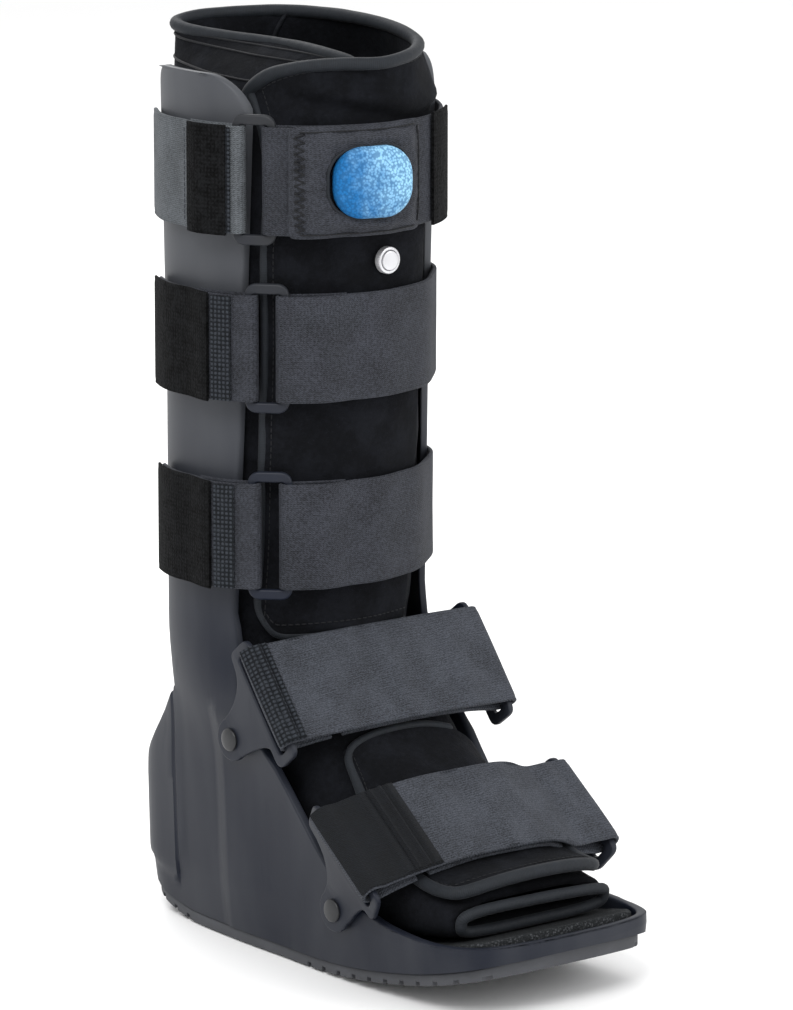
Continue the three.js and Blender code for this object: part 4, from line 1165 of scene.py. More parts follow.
    def leg_point(self, turn: Array, z: Array, out: Array) -> Array:
        """A point of the liner's leg.

        Args:
            turn: shares of a turn from the back over the right side.
            z: heights before the rim's tilt.
            out: how far outside the liner.

        Returns:
            Points.
        """
        turn, z, out = (np.asarray(a, float) for a in np.broadcast_arrays(turn, z, out))
        up = z / self.liner_top
        table = np.array(self.leg_levels)
        soft = lambda k: sum(np.interp(up + d, table[:, 0], table[:, k]) for d in (-0.01, 0, 0.01)) / 3
        room = self.half_over(z) - self.shell_wall - 2 * self.gap
        front = (self.liner_front + self.leg_centre) * soft(2) + out
        back = (self.liner_back - self.leg_centre) * soft(3) + out
        xy = self.oval(turn * TAU, room * soft(1) + out, front, back, 2)
        tilt = self.rim_tilt * np.maximum(0, (up - 0.9) / 0.1) * np.cos(turn * TAU)
        return np.concatenate([xy, (z + tilt)[..., None]], axis=-1)

    def foot_point(self, ahead: Array, angle: Array, out: Array) -> Array:
        """A point of the liner's foot.

        Args:
            ahead: shares of the length from the heel.
            angle: from the left side over the top.
            out: how far outside the liner.

        Returns:
            Points.
        """
        ahead, angle, out = (np.asarray(a, float) for a in np.broadcast_arrays(ahead, angle, out))
        table = np.array(self.foot_stations)
        soft = lambda k: sum(np.interp(ahead + d, table[:, 0], table[:, k]) for d in (-0.012, 0, 0.012)) / 3
        y = self.heel_back - ahead * self.foot_length
        floor = self.sole_line(y) + self.insole_top
        low = floor + self.gap + soft(3) * self.instep_height - out
        high = floor + soft(2) * (self.instep_height - self.insole_top) + out
        full = np.where(np.sin(angle) < 0, 4, 2.6)
        bend = lambda v: np.sign(v) * np.abs(v) ** (2 / full)
        x = (soft(1) * self.foot_liner_half + out) * bend(np.cos(angle))
        return np.stack([x, y, low + (high - low) * (0.5 + 0.5 * bend(np.sin(angle)))], axis=-1)


# The sole


@dataclass
class Sole:
    """The rubber outsole with its grooves, and the felt-covered insole."""

    form: BootForm
    finishes: Wardrobe
    tread_depth: float = 2.0
    tread_width: float = 3.0
    tread_pitch: float = 12.0
    stations: int = 150

    def _slab(
        self, name: str, low: float, high: float, inset: float, edge: float, grooved: bool = False
    ) -> bpy.types.Object:
        """A slab that follows the sole's line.

        Args:
            name: the piece's name.
            low: its underside over the sole's line.
            high: its top over the sole's line.
            inset: how far it is drawn in from the shell's plan.
            edge: the radius of its edges.
            grooved: whether its underside has the tread's grooves.

        Returns:
            The object.
        """
        form = self.form
        toe = form.heel_back - form.foot_length
        shares = (1 - np.cos(np.linspace(0, math.pi, self.stations))) / 4
        ys = [form.plan(s, (low + high) / 2, inset)[1] for s in shares[1:-1]]
        grooves = []
        zones = [
            (form.flat_back + self.tread_pitch, form.heel_back - self.tread_pitch),
            (toe + self.tread_pitch, form.flat_front - self.tread_pitch),
        ]
        if grooved:
            grooves = [y for a, b in zones for y in np.arange(a, b + 0.1, self.tread_pitch)]
            half = self.tread_width / 2
            ys += [y + d for y in grooves for d in (-half - 0.15, -half + 0.15, half - 0.15, half + 0.15)]
        ys = np.array(sorted(ys))
        line = form.sole_line(ys)
        table = form.plan(np.linspace(0, 0.5, 600), (low + high) / 2, inset)
        half_x = np.interp(-ys, -table[:, 1], -table[:, 0])
        lift = np.zeros(len(ys))
        for y in grooves:
            lift[np.abs(ys - y) < self.tread_width / 2] = self.tread_depth
        arcs = np.linspace(0, math.pi / 2, 5)
        rings = []
        for y, base, x, up in zip(ys, line, half_x, lift):
            r = min(edge, x * 0.4)
            side = [(x - r + r * math.cos(a), high - r + r * math.sin(a)) for a in arcs]
            under = [(x - r + r * math.cos(a), low + up + r - r * math.sin(a)) for a in arcs[::-1]]
            flat = [((x - r) * k, low + up) for k in (0.9, 0.5, 0, -0.5, -0.9)]
            left = [(-px, pz) for px, pz in under + side]
            top = [((x - r) * k, high) for k in (-0.93, -0.8, -0.4, 0, 0.4, 0.8, 0.93)]
            rings.append([(px, y, base + pz) for px, pz in side[::-1] + under[::-1] + flat + left + top])
        draft = loft(np.array(rings))
        flat = np.concatenate(draft.points)
        distance = np.interp(-flat[:, 1], -table[:, 1], -table[:, 0]) - np.abs(flat[:, 0])
        ends = np.minimum(flat[:, 1].max() - flat[:, 1], flat[:, 1] - flat[:, 1].min())
        draft.cloth = [np.column_stack([flat[:, 1], np.minimum(distance, ends)])]
        obj = draft.build(name)
        smooth_shade(obj, 35)
        return obj

    def build(self) -> None:
        """Builds and dresses both slabs."""
        form = self.form
        outsole = self._slab("outsole_rubber", 0, form.sole_thickness, 0, 1.1, True)
        piece(outsole, self.finishes.sole, ["outsole"])
        floor = form.sole_thickness + form.shell_floor + 2 * form.gap
        top, inset = floor + form.insole_thickness, form.shell_wall + form.gap
        insole = self._slab("insole_felt", floor, top, inset, 2.2)
        swell(insole, lambda p: 0.35 * clouds(p, 9) + 0.2 * clouds(p, 3, 5))
        piece(insole, self.finishes.insole, ["insole_pad"])


# The moulded shell


@dataclass
class Shell:
    """The moulded foot tray with its heel counter, raised fields and two uprights."""

    form: BootForm
    finishes: Wardrobe
    step: float = 1.4
    corner_front: float = 22.0
    corner_back: float = 9.0
    rim_shares: tuple[tuple[float, float], ...] = (
        (1.02, 0.012), (0.93, -0.012), (0.84, -0.012), (0.76, 0.015), (0.69, 0.085), (0.64, 0.175),
        (0.585, 0.33), (0.53, 0.52), (0.483, 0.71),
    )
    counter_line: tuple[tuple[float, float], ...] = (
        (54.4, 118), (56.5, 115), (59.5, 113), (86.8, 79), (116, 77),
    )
    columns: tuple[int, ...] = (16, 1, 2, 8, 1, 6, 56)
    foot_rows: int = 34
    mean_half: float = 56.0

    @property
    def _peak(self) -> float:
        """The front end of the raised counter."""
        return self.form.upright_back + 5

    @property
    def _panel(self) -> float:
        """The back end of the raised field at the front of the foot."""
        return self.form.upright_front[0] + 0.22 * (self.form.upright_back - self.form.upright_front[0])

    def _rim(self) -> Array:
        """The rim from the toe to the upright, as places of the side view."""
        form = self.form
        rise = form.ankle_height - form.toe_rim_height
        points = [(form.fore(a), form.toe_rim_height + r * rise) for a, r in self.rim_shares]
        points.append((form.front_edge(form.ankle_height) - 12, form.ankle_height + 2))
        points.append((form.front_edge(form.ankle_height + 45), form.ankle_height + 45))
        return curve_through(points, per=16)

    def _front(self, z: float) -> float:
        """The front edge of the upright with its fillet below and its round corner above."""
        form = self.form
        rim = self._rim()
        if z < form.ankle_height + 45:
            return float(np.interp(z, rim[-32:, 1], rim[-32:, 0]))
        start = form.shell_top - self.corner_front
        edge = float(form.front_edge(z))
        if z <= start:
            return edge
        reach = math.sqrt(max(0, self.corner_front**2 - (z - start) ** 2))
        return max(edge, form.upright_front[1] + self.corner_front - reach)

    def _back(self, z: float) -> float:
        """The back edge of the upright with its round corner above."""
        start = self.form.shell_top - self.corner_back
        if z <= start:
            return self.form.upright_back
        reach = math.sqrt(max(0, self.corner_back**2 - (z - start) ** 2))
        return self.form.upright_back - self.corner_back + reach

    def _columns(self, z: float, inset: float) -> Array:
        """The shares of the columns on the right side at a height."""
        peak, panel = self._peak, self._panel
        guides = [peak - 1.6, peak - 2.4, min(self._back(z), peak - 3), panel + 0.5, panel - 0.5]
        low = self.form.ankle_height
        guides.append(self._front(max(z, low + 0.01)))
        if max(z, low) > self.form.shell_top - self.corner_front:
            back, front = self._back(z), self._front(z)
            guides[2], guides[3], guides[4], guides[5] = back, *np.linspace(back, front, 4)[1:]
        shares = [0.0, *[self.form.share_at(y, z, inset) for y in guides], 0.5]
        parts = [np.linspace(a, b, n, endpoint=False) for a, b, n in zip(shares, shares[1:], self.columns)]
        return np.concatenate([*parts, [0.5]])

    def _relief(self, y: Array, z: Array, top: Array) -> Array:
        """How far the outside is raised: the counter and the field at the front of the foot."""
        peak, panel = self._peak, self._panel
        counter = self.step * (y > peak - 2) * smoothstep(z - self.form.sole_line(y), 18, 20)
        field_up = smoothstep(y, self.form.fore(0.86) - 3, self.form.fore(0.86)) * (y < panel)
        high = self.form.ankle_height
        front = self.step * 0.55 * field_up * (1 - smoothstep(z, high - 4, high - 2))
        rib = 0.9 * np.exp(-(((y - peak + 4.4) / 1.5) ** 2)) * smoothstep(z, 20, 40) * (z < top - 2)
        return counter + front + rib

    def _wall(self, inset: float, floor: float, rows: int) -> Array:
        """One skin of the foot.

        Args:
            inset: how far it is drawn in.
            floor: its lowest height over the sole's line.
            rows: its rows.

        Returns:
            Its points, row by row from the heel to the toe, on the right half.
        """
        form = self.form
        rim = self._rim()
        back = np.array(self.counter_line, float)
        front = rim[rim[:, 1] <= form.ankle_height + 0.5]
        count = len(self._columns(60, inset))
        tops = np.full(count, form.ankle_height)
        spots = np.zeros((rows, count, 3))
        y_top = np.full(count, 0.0)
        for _ in range(5):
            for c in range(count):
                share = self._columns_at(tops[c], inset)[c]
                y_top[c] = form.plan(share, tops[c], inset)[1]
            line = np.where(
                y_top > 30, np.interp(y_top, back[:, 0], back[:, 1]), np.interp(y_top, front[:, 0], front[:, 1])
            )
            tops = tops + 0.8 * (np.minimum(line, form.ankle_height) - tops)
        for r in range(rows):
            v = r / (rows - 1)
            for c in range(count):
                z = floor + form.sole_line(y_top[c]) + v * (tops[c] - floor - form.sole_line(y_top[c]))
                share = self._columns_at(z, inset)[c]
                x, y = form.plan(share, z, inset)
                spots[r, c] = (x, y, z)
        if inset == 0:
            spots[..., 0] *= 1 + self._relief(spots[..., 1], spots[..., 2], tops[None]) / self.mean_half
            heel = np.clip((spots[..., 1] - 60) / 40, 0, 1)
            spots[..., 1] += heel * self._relief(spots[..., 1], spots[..., 2], tops[None])
        return spots

    def _columns_at(self, z: float, inset: float) -> Array:
        """The columns at a height, kept for each whole half millimetre."""
        key = (round(z * 2) / 2, inset)
        if key not in self._kept:
            self._kept[key] = self._columns(key[0], inset)
        return self._kept[key]

    def build(self) -> None:
        """Builds and dresses the shell."""
        form = self.form
        self._kept: dict[tuple[float, float], Array] = {}
        draft = Draft()
        start = form.shell_top - self.corner_front
        heights = [form.ankle_height + d for d in (4, 9, 15, 22, 30, 38, 45)]
        heights += list(np.arange(form.ankle_height + 54, start - 3, 9.0))
        heights += [start + self.corner_front * math.sin(a) for a in np.linspace(0, math.pi / 2, 12)]
        first, last = sum(self.columns[:3]), sum(self.columns[:6])
        rings: dict[str, list[Array]] = {"outer": [], "inner": []}
        for key, inset, floor, rows in (
            ("outer", 0.0, form.sole_thickness + form.gap, self.foot_rows),
            ("inner", form.shell_wall, form.sole_thickness + form.gap + form.shell_floor, 8),
        ):
            spots = self._wall(inset, floor, rows)
            tower = []
            for z in heights:
                shares = self._columns(z, inset)[first : last + 1]
                xy = form.plan(shares, z, inset)
                tower.append(np.column_stack([xy, np.full(len(xy), z)]))
            tower_points = np.array(tower)
            for mirror in (1, -1):
                flip = np.array([mirror, 1, 1])
                foot = draft.add(spots * flip)
                up = draft.add(tower_points * flip)
                draft.grid(foot)
                draft.grid(np.concatenate([foot[-1:, first : last + 1], up]))
                edge = [foot[-1, : first + 1], up[:, 0], up[-1, 1:], up[-2::-1, -1], foot[-1, last:]]
                rings[key].append(np.concatenate(edge))
                rings.setdefault(key + "_floor", []).append(foot[0])
        for side in (0, 1):
            draft.grid(np.stack([rings["outer"][side], rings["inner"][side]]))
        for key in ("outer_floor", "inner_floor"):
            right, left = rings[key]
            draft.grid(np.stack([right, left]))
        obj = draft.build("shell_moulding")
        mesh = obj.data
        rim_edges = self._rim_edges(obj)
        layer = mesh.attributes.new("bevel_weight_edge", "FLOAT", "EDGE")
        weights = np.zeros(len(mesh.edges))
        weights[rim_edges] = 1
        layer.data.foreach_set("value", weights)
        modify(obj, "BEVEL", width=1.2 * MM, segments=3, limit_method="WEIGHT", use_clamp_overlap=False)
        piece(obj, self.finishes.shell, ["shell"], angle=38)

    def _rim_edges(self, obj: bpy.types.Object) -> Array:
        """The sharp edges round the rim, from the angle between their faces."""
        work = bmesh.new()
        work.from_mesh(obj.data)
        work.edges.ensure_lookup_table()
        out = [
            e.index
            for e in work.edges
            if len(e.link_faces) == 2 and e.calc_face_angle(0) > math.radians(62) and e.verts[0].co.z > 0.03
        ]
        work.free()
        return np.array(out, int)


# The padded liner


@dataclass
class Liner:
    """The soft liner: its leg and foot as one hollow body, the two flaps, and their rolled bindings."""

    form: BootForm
    finishes: Wardrobe
    voxel: float = 2.4
    flap_low: float = 152.0
    rim_run: tuple[tuple[float, float, float], ...] = (
        (-44, 9, 403), (-43, 6, 410), (-40, -3, 417.5), (-34, -19, 423), (-23, -35, 425.5), (-8, -47, 426),
        (7, -45, 427), (22, -36, 428), (33, -24, 430), (37, -8, 433), (39, 14, 435), (36, 45, 436),
        (26, 68, 436), (10, 84, 435), (-10, 91, 434), (-24, 88, 432.5), (-28, 75, 431), (-23, 50, 429.5),
        (-15, 25, 428.5), (-13, 5, 428), (-13.5, -15, 427), (-12.5, -30, 425), (-10, -39, 420),
    )
    rim_back: tuple[tuple[float, float, float], ...] = (
        (5, -41, 422), (22, -36, 427), (33, -24, 430), (37, -8, 433),
    )
    rim_middle: float = 12.0
    binding: float = 3.4
    piping: float = 2.6

    def _rim_ring(self, turn: Array) -> Array:
        """The middle of the collar's rim, drawn in over the right front, at turns from the back."""
        line = curve_through([*self.rim_run[10:], *self.rim_back], closed=True, per=20)
        middle = np.array([self.rim_middle, self.form.leg_centre])
        angle = np.unwrap(np.arctan2(-(line[:, 0] - middle[0]), line[:, 1] - middle[1]))
        order = np.argsort(angle % TAU)
        return np.column_stack(
            [np.interp(turn % 1.0 * TAU, (angle % TAU)[order], line[order, k], period=TAU) for k in range(3)]
        )

    def _leg_rings(self, turn: Array, heights: Array, inset: float) -> Array:
        """Rings of the leg, its collar leaning in towards the rim.

        Args:
            turn: turns from the back over the right side.
            heights: heights before the rim's tilt.
            inset: how far inside the liner's outside.

        Returns:
            Rings by turns by 3.
        """
        rim = self._rim_ring(turn)
        rim = rim - self.form.outward(rim, self.rim_middle) * (inset * 0.6 - 2.2)
        rings = []
        for z in heights:
            ring = self.form.leg_point(turn, min(z, self.form.liner_top), -inset)
            lean = float(smoothstep(z, 388, self.form.liner_top)) ** 1.3
            flat = ring * (1 - lean) + rim * lean
            near = np.maximum(0, np.sin(turn * TAU)) ** 2
            flat[:, 2] += max(0, z - self.form.liner_top) - 0.6 * inset * near * lean
            rings.append(flat)
        return np.array(rings)

    def _body(self, hollow: bool) -> bpy.types.Object:
        """The leg and foot as two closed forms, or the hollow inside them."""
        form = self.form
        inset, foot_out = (form.liner_wall, -5.0) if hollow else (0.0, 0.0)
        turn = np.linspace(0, 1, 96, endpoint=False)
        heights = np.linspace(0.1, 1, 70) * form.liner_top
        heights = np.append(heights, form.liner_top + (14 if hollow else 1.8))
        rings = self._leg_rings(turn, heights, inset)
        if not hollow:
            rings += self._creases(rings)
        leg = loft(rings).build("liner_leg_form")
        ahead = np.linspace(0.13 if hollow else 0.022, 0.8746 + (0.05 if hollow else 0), 70)
        angle = np.linspace(0, TAU, 72, endpoint=False)
        foot = loft(np.array([form.foot_point(a, angle, foot_out) for a in ahead])).build("liner_foot_form")
        modify(leg, "BOOLEAN", operation="UNION", object=foot, solver="EXACT")
        bpy.data.objects.remove(foot)
        return leg

    def _creases(self, rings: Array) -> Array:
        """Soft folds and the swell between the straps, along the rings' own outward direction."""
        flat = rings.reshape(-1, 3) * np.array([1, 1, 2.2])
        height = 0.9 * clouds(flat, 34, 2) + 0.45 * clouds(flat, 13, 7)
        return self.form.outward(rings) * (height.reshape(rings.shape[:2]) - 0.6)[..., None]

    def _hollow_body(self) -> None:
        """The liner's leg and foot, with its opening for the leg and its open toe."""
        body, hollow = self._body(False), self._body(True)
        modify(body, "BOOLEAN", operation="DIFFERENCE", object=hollow, solver="EXACT")
        bpy.data.objects.remove(hollow)
        modify(body, "REMESH", mode="VOXEL", voxel_size=self.voxel * MM)
        modify(body, "SMOOTH", factor=0.5, iterations=4)
        p = points_of(body)
        low = p[:, 2] < 150
        limit = self.form.half_width(p[low, 1], np.maximum(p[low, 2], 12), self.form.shell_wall) - 0.4
        inside_shell = (np.abs(p[low, 0]) > limit) & (p[low, 2] < self.form.ankle_height)
        x = p[low, 0]
        x[inside_shell] = np.sign(x[inside_shell]) * limit[inside_shell]
        p[low, 0] = x
        move_points(body, p)
        swell(body, lambda q: 0.25 * clouds(q, 8, 3))
        body.name = "liner_padding"
        piece(body, self.finishes.plush, ["liner_leg", "liner_foot"], angle=60)

    def _flap_place(self, u: Array, v: Array, depth: Union[float, Array]) -> Array:
        """A point of the front flap, from its right edge to its left and from its foot to its rim."""
        form = self.form
        top = form.liner_top - 17.0 * (1 - smoothstep(u, -0.05, 0.42)) ** 1.3
        foot = self.flap_low + 12 * (1 - smoothstep(u, 0, 0.16)) ** 2
        z = foot + v * (top - foot)
        turn = form.flap_from + u * (form.flap_edge(z) - form.flap_from)
        p = form.leg_point(turn, z, form.flap_inner + np.asarray(depth) * form.flap_thickness)
        rim = spaced(curve_through(self.rim_run[1:9], per=14), 1)
        share = np.linspace(0, 1, len(rim))
        at_rim = np.stack([np.interp(u, share, rim[:, k]) for k in range(3)], axis=-1)
        at_rim[..., :2] += (np.asarray(depth) * 3 - 2.5) * np.array([-0.4, -0.9])
        lean = (smoothstep(v, 0.86, 1.0) ** 1.2)[..., None]
        p = p * (1 - lean) + at_rim * lean
        soft = p.reshape(-1, 3)
        fold = 1.1 * clouds(soft * np.array([1, 1, 1.6]), 26, 11) + 0.5 * clouds(soft, 10, 4)
        fold = fold.reshape(np.shape(u))
        zz = p[..., 2]
        over = zz - 405 + 20 * (u - 0.35) - 26 * np.maximum(0, u - 0.72)
        crease = 4.6 * np.exp(-((over / 2.6) ** 2)) - 2.4 * np.exp(-(((over - 6) / 3) ** 2))
        crease *= smoothstep(u, 0.05, 0.25)
        fold = fold * (1 + 1.3 * smoothstep(zz, 398, 408) * (1 - smoothstep(v, 0.94, 1)))
        cinch = sum(np.exp(-(((zz - c) / 26) ** 4)) for c in (372.5, 293, 203))
        valve = np.exp(-((p[..., 0] / 15) ** 4) - ((zz - 332) / 15) ** 4)
        inward = (fold * 0.8 + 1.3) * (1 - np.clip(cinch + valve, 0, 1)) - crease - 0.4
        return p + form.outward(p) * (np.asarray(depth) * inward)[..., None]

    def _front_flap(self) -> None:
        """The outer flap over the shin with the piping round its free edges."""
        flap = padded_sheet(self._flap_place, (105, 256), 2.2, "front_flap_padding")
        piece(flap, self.finishes.plush, ["front_flap"], angle=60)
        side = np.linspace(1, 0, 90)
        foot = np.linspace(0, 1, 40)
        down = self._flap_place(np.zeros(90), side, 0.6)
        across = self._flap_place(foot, np.zeros(40), 0.6)
        edge = relaxed(spaced(np.concatenate([down, across[1:]]), 2.0), 6)
        roll = tube(edge, 2.3).build("front_flap_piping")
        piece(roll, self.finishes.binding, angle=40)
        seam = self._flap_place(np.full(90, 0.05), side, 1.06)
        low = self._flap_place(foot * 0.95 + 0.05, np.full(40, 0.022), 1.06)
        high = self._flap_place(np.linspace(0.04, 1, 70), np.full(70, 0.968), 1.05)
        rows = [spaced(seam, 1), spaced(low, 1), high]
        thread = stitches("front_flap_stitches", rows, 3.2, 0.62, 0.3)
        piece(thread, self.finishes.dark_thread)

    def _rim_roll(self) -> None:
        """The rolled binding: along the flap's rim, round the back, and down inside the right front."""
        line = spaced(curve_through(self.rim_run, per=14), 2.0)
        along = lengths(line)
        radius = self.binding * (0.9 + 0.25 * np.exp(-((along - 12) / 18) ** 2)) + 0.12 * clouds(line, 12, 9)
        roll = tube(line, radius, sides=16).build("rim_roll")
        piece(roll, self.finishes.binding, ["rim_binding"], angle=60)
        turn = np.linspace(0.93, 1.52, 130)
        rows = []
        for z in (418.5, 413.5, 406.0):
            ring = self._leg_rings(turn, np.array([z]), 0.0)[0]
            rows.append(ring + self._creases(ring[None])[0])
        for number, row in enumerate(rows, 1):
            cord = tube(spaced(row, 3), 0.6, sides=8).build(f"collar_seam_{number}")
            piece(cord, self.finishes.dark_thread, angle=40)
        seam = self._leg_rings(np.full(8, 0.945), np.linspace(396, self.form.liner_top - 3, 8), 7.6)[:, 0]
        tab = tube(spaced(seam, 2), 1.0, sides=10).build("lining_seam")
        piece(tab, self.finishes.lining, angle=40)

    def _vamp_place(self, u: Array, v: Array, depth: Union[float, Array]) -> Array:
        """A point of the flap over the instep, from left to right and from the ankle to the toes."""
        form = self.form
        ahead = 0.545 + v * (0.872 - 0.545 + 0.02 * np.sin(u * math.pi))
        lean = 20 * (1 - smoothstep(v, 0, 0.55))
        angle = np.radians(32 + u * (114 - lean))
        p = form.foot_point(ahead, angle, form.flap_inner + np.asarray(depth) * form.flap_thickness)
        flat = p.reshape(-1, 3)
        fold = (1.0 * clouds(flat, 24, 21) + 0.5 * clouds(flat, 9, 5)).reshape(np.shape(u))
        puff = 2.2 * smoothstep(v, 0.6, 0.95)
        p[..., 2] += np.asarray(depth) * (fold * 0.7 + puff) + 2.5 * smoothstep(v, 0.7, 1.0)
        return p

    def _vamp(self) -> None:
        """The flap over the instep and toes with its thick piping and topstitching."""
        flap = padded_sheet(self._vamp_place, (105, 98), 1.7, "vamp_flap_padding")
        piece(flap, self.finishes.plush, ["vamp_flap"], angle=60)
        side = np.linspace(0, 1, 60)
        right = self._vamp_place(np.ones(60), side, 0.6)
        front = self._vamp_place(side[::-1], np.ones(60), 0.6)
        left = self._vamp_place(np.zeros(20), np.linspace(1, 0.62, 20), 0.5)
        top = self._vamp_place(np.linspace(0.3, 1, 40), np.full(40, 0.0), 0.6)
        edge = relaxed(spaced(np.concatenate([top, right[1:], front[1:], left[1:]]), 1.8), 24)
        thick = 2.0 + 1.1 * smoothstep(lengths(edge), 70, 110)
        roll = tube(edge, thick, sides=14).build("vamp_piping")
        piece(roll, self.finishes.binding, angle=60)
        rows = [spaced(self._vamp_place(np.full(60, 0.94), side, 1.08), 1)]
        rows.append(spaced(self._vamp_place(side * 0.9 + 0.05, np.full(60, 0.93), 1.06), 1))
        thread = stitches("vamp_stitches", rows, 3.0, 0.6, 0.3)
        piece(thread, self.finishes.dark_thread)

    def _toe_roll(self) -> None:
        """The piping round the open toe, pinched to a corner on the right."""
        form = self.form
        angle = np.linspace(0, TAU, 100, endpoint=False)
        line = form.foot_point(np.full(100, 0.8746), angle, -self.piping - 0.6)
        line[:, 1] -= self.piping + 0.6 + 3.0 * np.sin(angle)
        line[:, 2] -= 2.2 * np.maximum(0, np.sin(angle)) * (1 + np.cos(angle - 0.6)) * 0.6
        roll = tube(line, self.piping * 1.05, closed=True, sides=14).build("toe_roll")
        piece(roll, self.finishes.binding, ["toe_piping"], angle=60)

    def _back_seam(self) -> None:
        """The stitched seam down the back of the leg."""
        height = np.linspace(110, 398, 90)
        row = self._leg_rings(np.zeros(1), height, 0.0)
        line = (row + self._creases(row))[:, 0]
        cord = tube(spaced(line, 3), 0.8, sides=8).build("back_seam")
        piece(cord, self.finishes.dark_thread, angle=40)
        beside = [line + np.array([x, -0.15, 0]) for x in (-4.0, 4.0)]
        thread = stitches("back_seam_stitches", [spaced(b, 1) for b in beside], 3.4, 0.62, 0.3)
        piece(thread, self.finishes.dark_thread)

    def build(self) -> None:
        """Builds and dresses the liner."""
        self._hollow_body()
        self._front_flap()
        self._rim_roll()
        self._vamp()
        self._toe_roll()
        self._back_seam()


# The straps


class StrapPath:
    """The plan of one calf strap, drawn tight round the uprights and the flap."""

    steps = 72
    width = 50.8
    thickness = 2.2
    fold = 26.0
    bar = 3.4
    buckle_width = 21.0

    def __init__(self, form: BootForm, height: float, buckle_turn: float) -> None:
        """Draws the plan.

        Args:
            form: the boot's sections.
            height: the height of the strap's middle.
            buckle_turn: where its buckle stands.
        """
        self.height = height
        self.buckle_turn = buckle_turn
        self.wrap_radius = self.bar * math.sqrt(2) / 2 + form.gap + self.thickness / 2
        self.inner_run = form.gap + self.thickness / 2
        centre = np.array([0, form.leg_centre])
        support_points = []
        for k in (-0.5, 0, 0.5):
            z = height + k * self.width
            ring = form.plan(np.linspace(0, 1, 300), max(z, 150), 0)
            support_points.append(ring[ring[:, 1] >= form.front_edge(z)])
            turns = np.linspace(form.flap_from, float(form.flap_edge(z)), 40)
            flap = form.leg_point(turns, z, form.flap_inner + form.flap_thickness)
            support_points.append(flap[:, :2])
        points = np.concatenate(support_points) - centre
        angle = np.arange(self.steps) / self.steps * TAU
        out = np.column_stack([-np.sin(angle), np.cos(angle)])
        support = (out @ points.T).max(axis=1)
        facing = out @ out.T
        reach = np.where(facing > 0.2, support[None] / np.maximum(facing, 0.2), np.inf).min(axis=1)
        even = reach
        for _ in range(2):
            even = (np.roll(even, 1) + 2 * even + np.roll(even, -1)) / 4
        even = even + (reach - even).max() + form.gap
        self.line = curve_through(out * even[:, None] + centre, closed=True)
        self.arc = float(lengths(np.vstack([self.line, self.line[:1]]))[-1])
        ahead = np.roll(self.line, -1, axis=0) - np.roll(self.line, 1, axis=0)
        self.ahead = ahead / np.linalg.norm(ahead, axis=1)[:, None]

    def at(self, turn: Array, out: Array = 0.0) -> Array:
        """Points of the plan at turns, moved out.

        Args:
            turn: turns from the back over the right side.
            out: how far outside the plan.

        Returns:
            X and Y.
        """
        turn, out = np.broadcast_arrays(np.asarray(turn, float), np.asarray(out, float))
        count = len(self.line)
        place = turn % 1.0 * count
        keys = np.arange(count + 1)
        wrapped = np.vstack([self.line, self.line[:1]])
        normal = np.column_stack([self.ahead[:, 1], -self.ahead[:, 0]])
        normals = np.vstack([normal, normal[:1]])
        spot = np.stack([np.interp(place, keys, wrapped[:, k]) for k in (0, 1)], axis=-1)
        side = np.stack([np.interp(place, keys, normals[:, k]) for k in (0, 1)], axis=-1)
        return spot + side * out[..., None]

    def start(self, side: int) -> float:
        """The turn at which the main strap (1) or the tab (-1) leaves its post."""
        return self.buckle_turn + side * (self.buckle_width / 2 + 3) / self.arc

    def layer_out(self, turn: Array, side: int) -> Array:
        """How far out the outer layer lies at turns on one side of the buckle."""
        distance = np.abs(np.asarray(turn) - self.start(side)) * self.arc
        high = self.inner_run + 2 * self.wrap_radius
        low = self.inner_run + self.thickness + 0.3
        down = smoothstep(distance, 8, self.fold)
        home = smoothstep(distance, self.fold + 8, self.fold + 34)
        return (high + (low - high) * down) * (1 - home) + self.inner_run * home

    def run(self, first: float, last: float, out: Callable[[Array], Array]) -> Array:
        """Points about 2 mm apart between two turns."""
        count = max(3, int(abs(last - first) * self.arc / 2))
        turn = np.linspace(first, last, count + 1)
        return self.at(turn, out(turn))

    def frame(self) -> tuple[Array, Array, Array]:
        """The buckle's middle and its directions along the strap and outwards, in plan."""
        post_out = self.inner_run + self.wrap_radius
        centre = self.at(self.buckle_turn, post_out)
        along = self.at(self.buckle_turn + 0.01, post_out) - self.at(self.buckle_turn - 0.01, post_out)
        along = along / np.linalg.norm(along)
        outward = np.array([along[1], -along[0]])
        return centre, along, outward * (1 if centre[0] * along[1] > 0 else -1)

    def folded(self, side: int, end_turn: float) -> Array:
        """The plan of a strap folded round its post, from its free end."""
        centre, along, outward = self.frame()
        post = centre + along * side * (self.buckle_width - self.bar) / 2
        start = self.start(side)
        outer = self.run(end_turn, start, lambda turn: self.layer_out(turn, side))
        angle = np.linspace(0, math.pi, 12)[1:-1, None]
        wrap = post + self.wrap_radius * (outward * np.cos(angle) - along * side * np.sin(angle))
        end = start + side * (self.fold - 4) / self.arc
        inner = self.run(start, end, lambda turn: turn * 0 + self.inner_run)
        return np.concatenate([outer, wrap, inner])


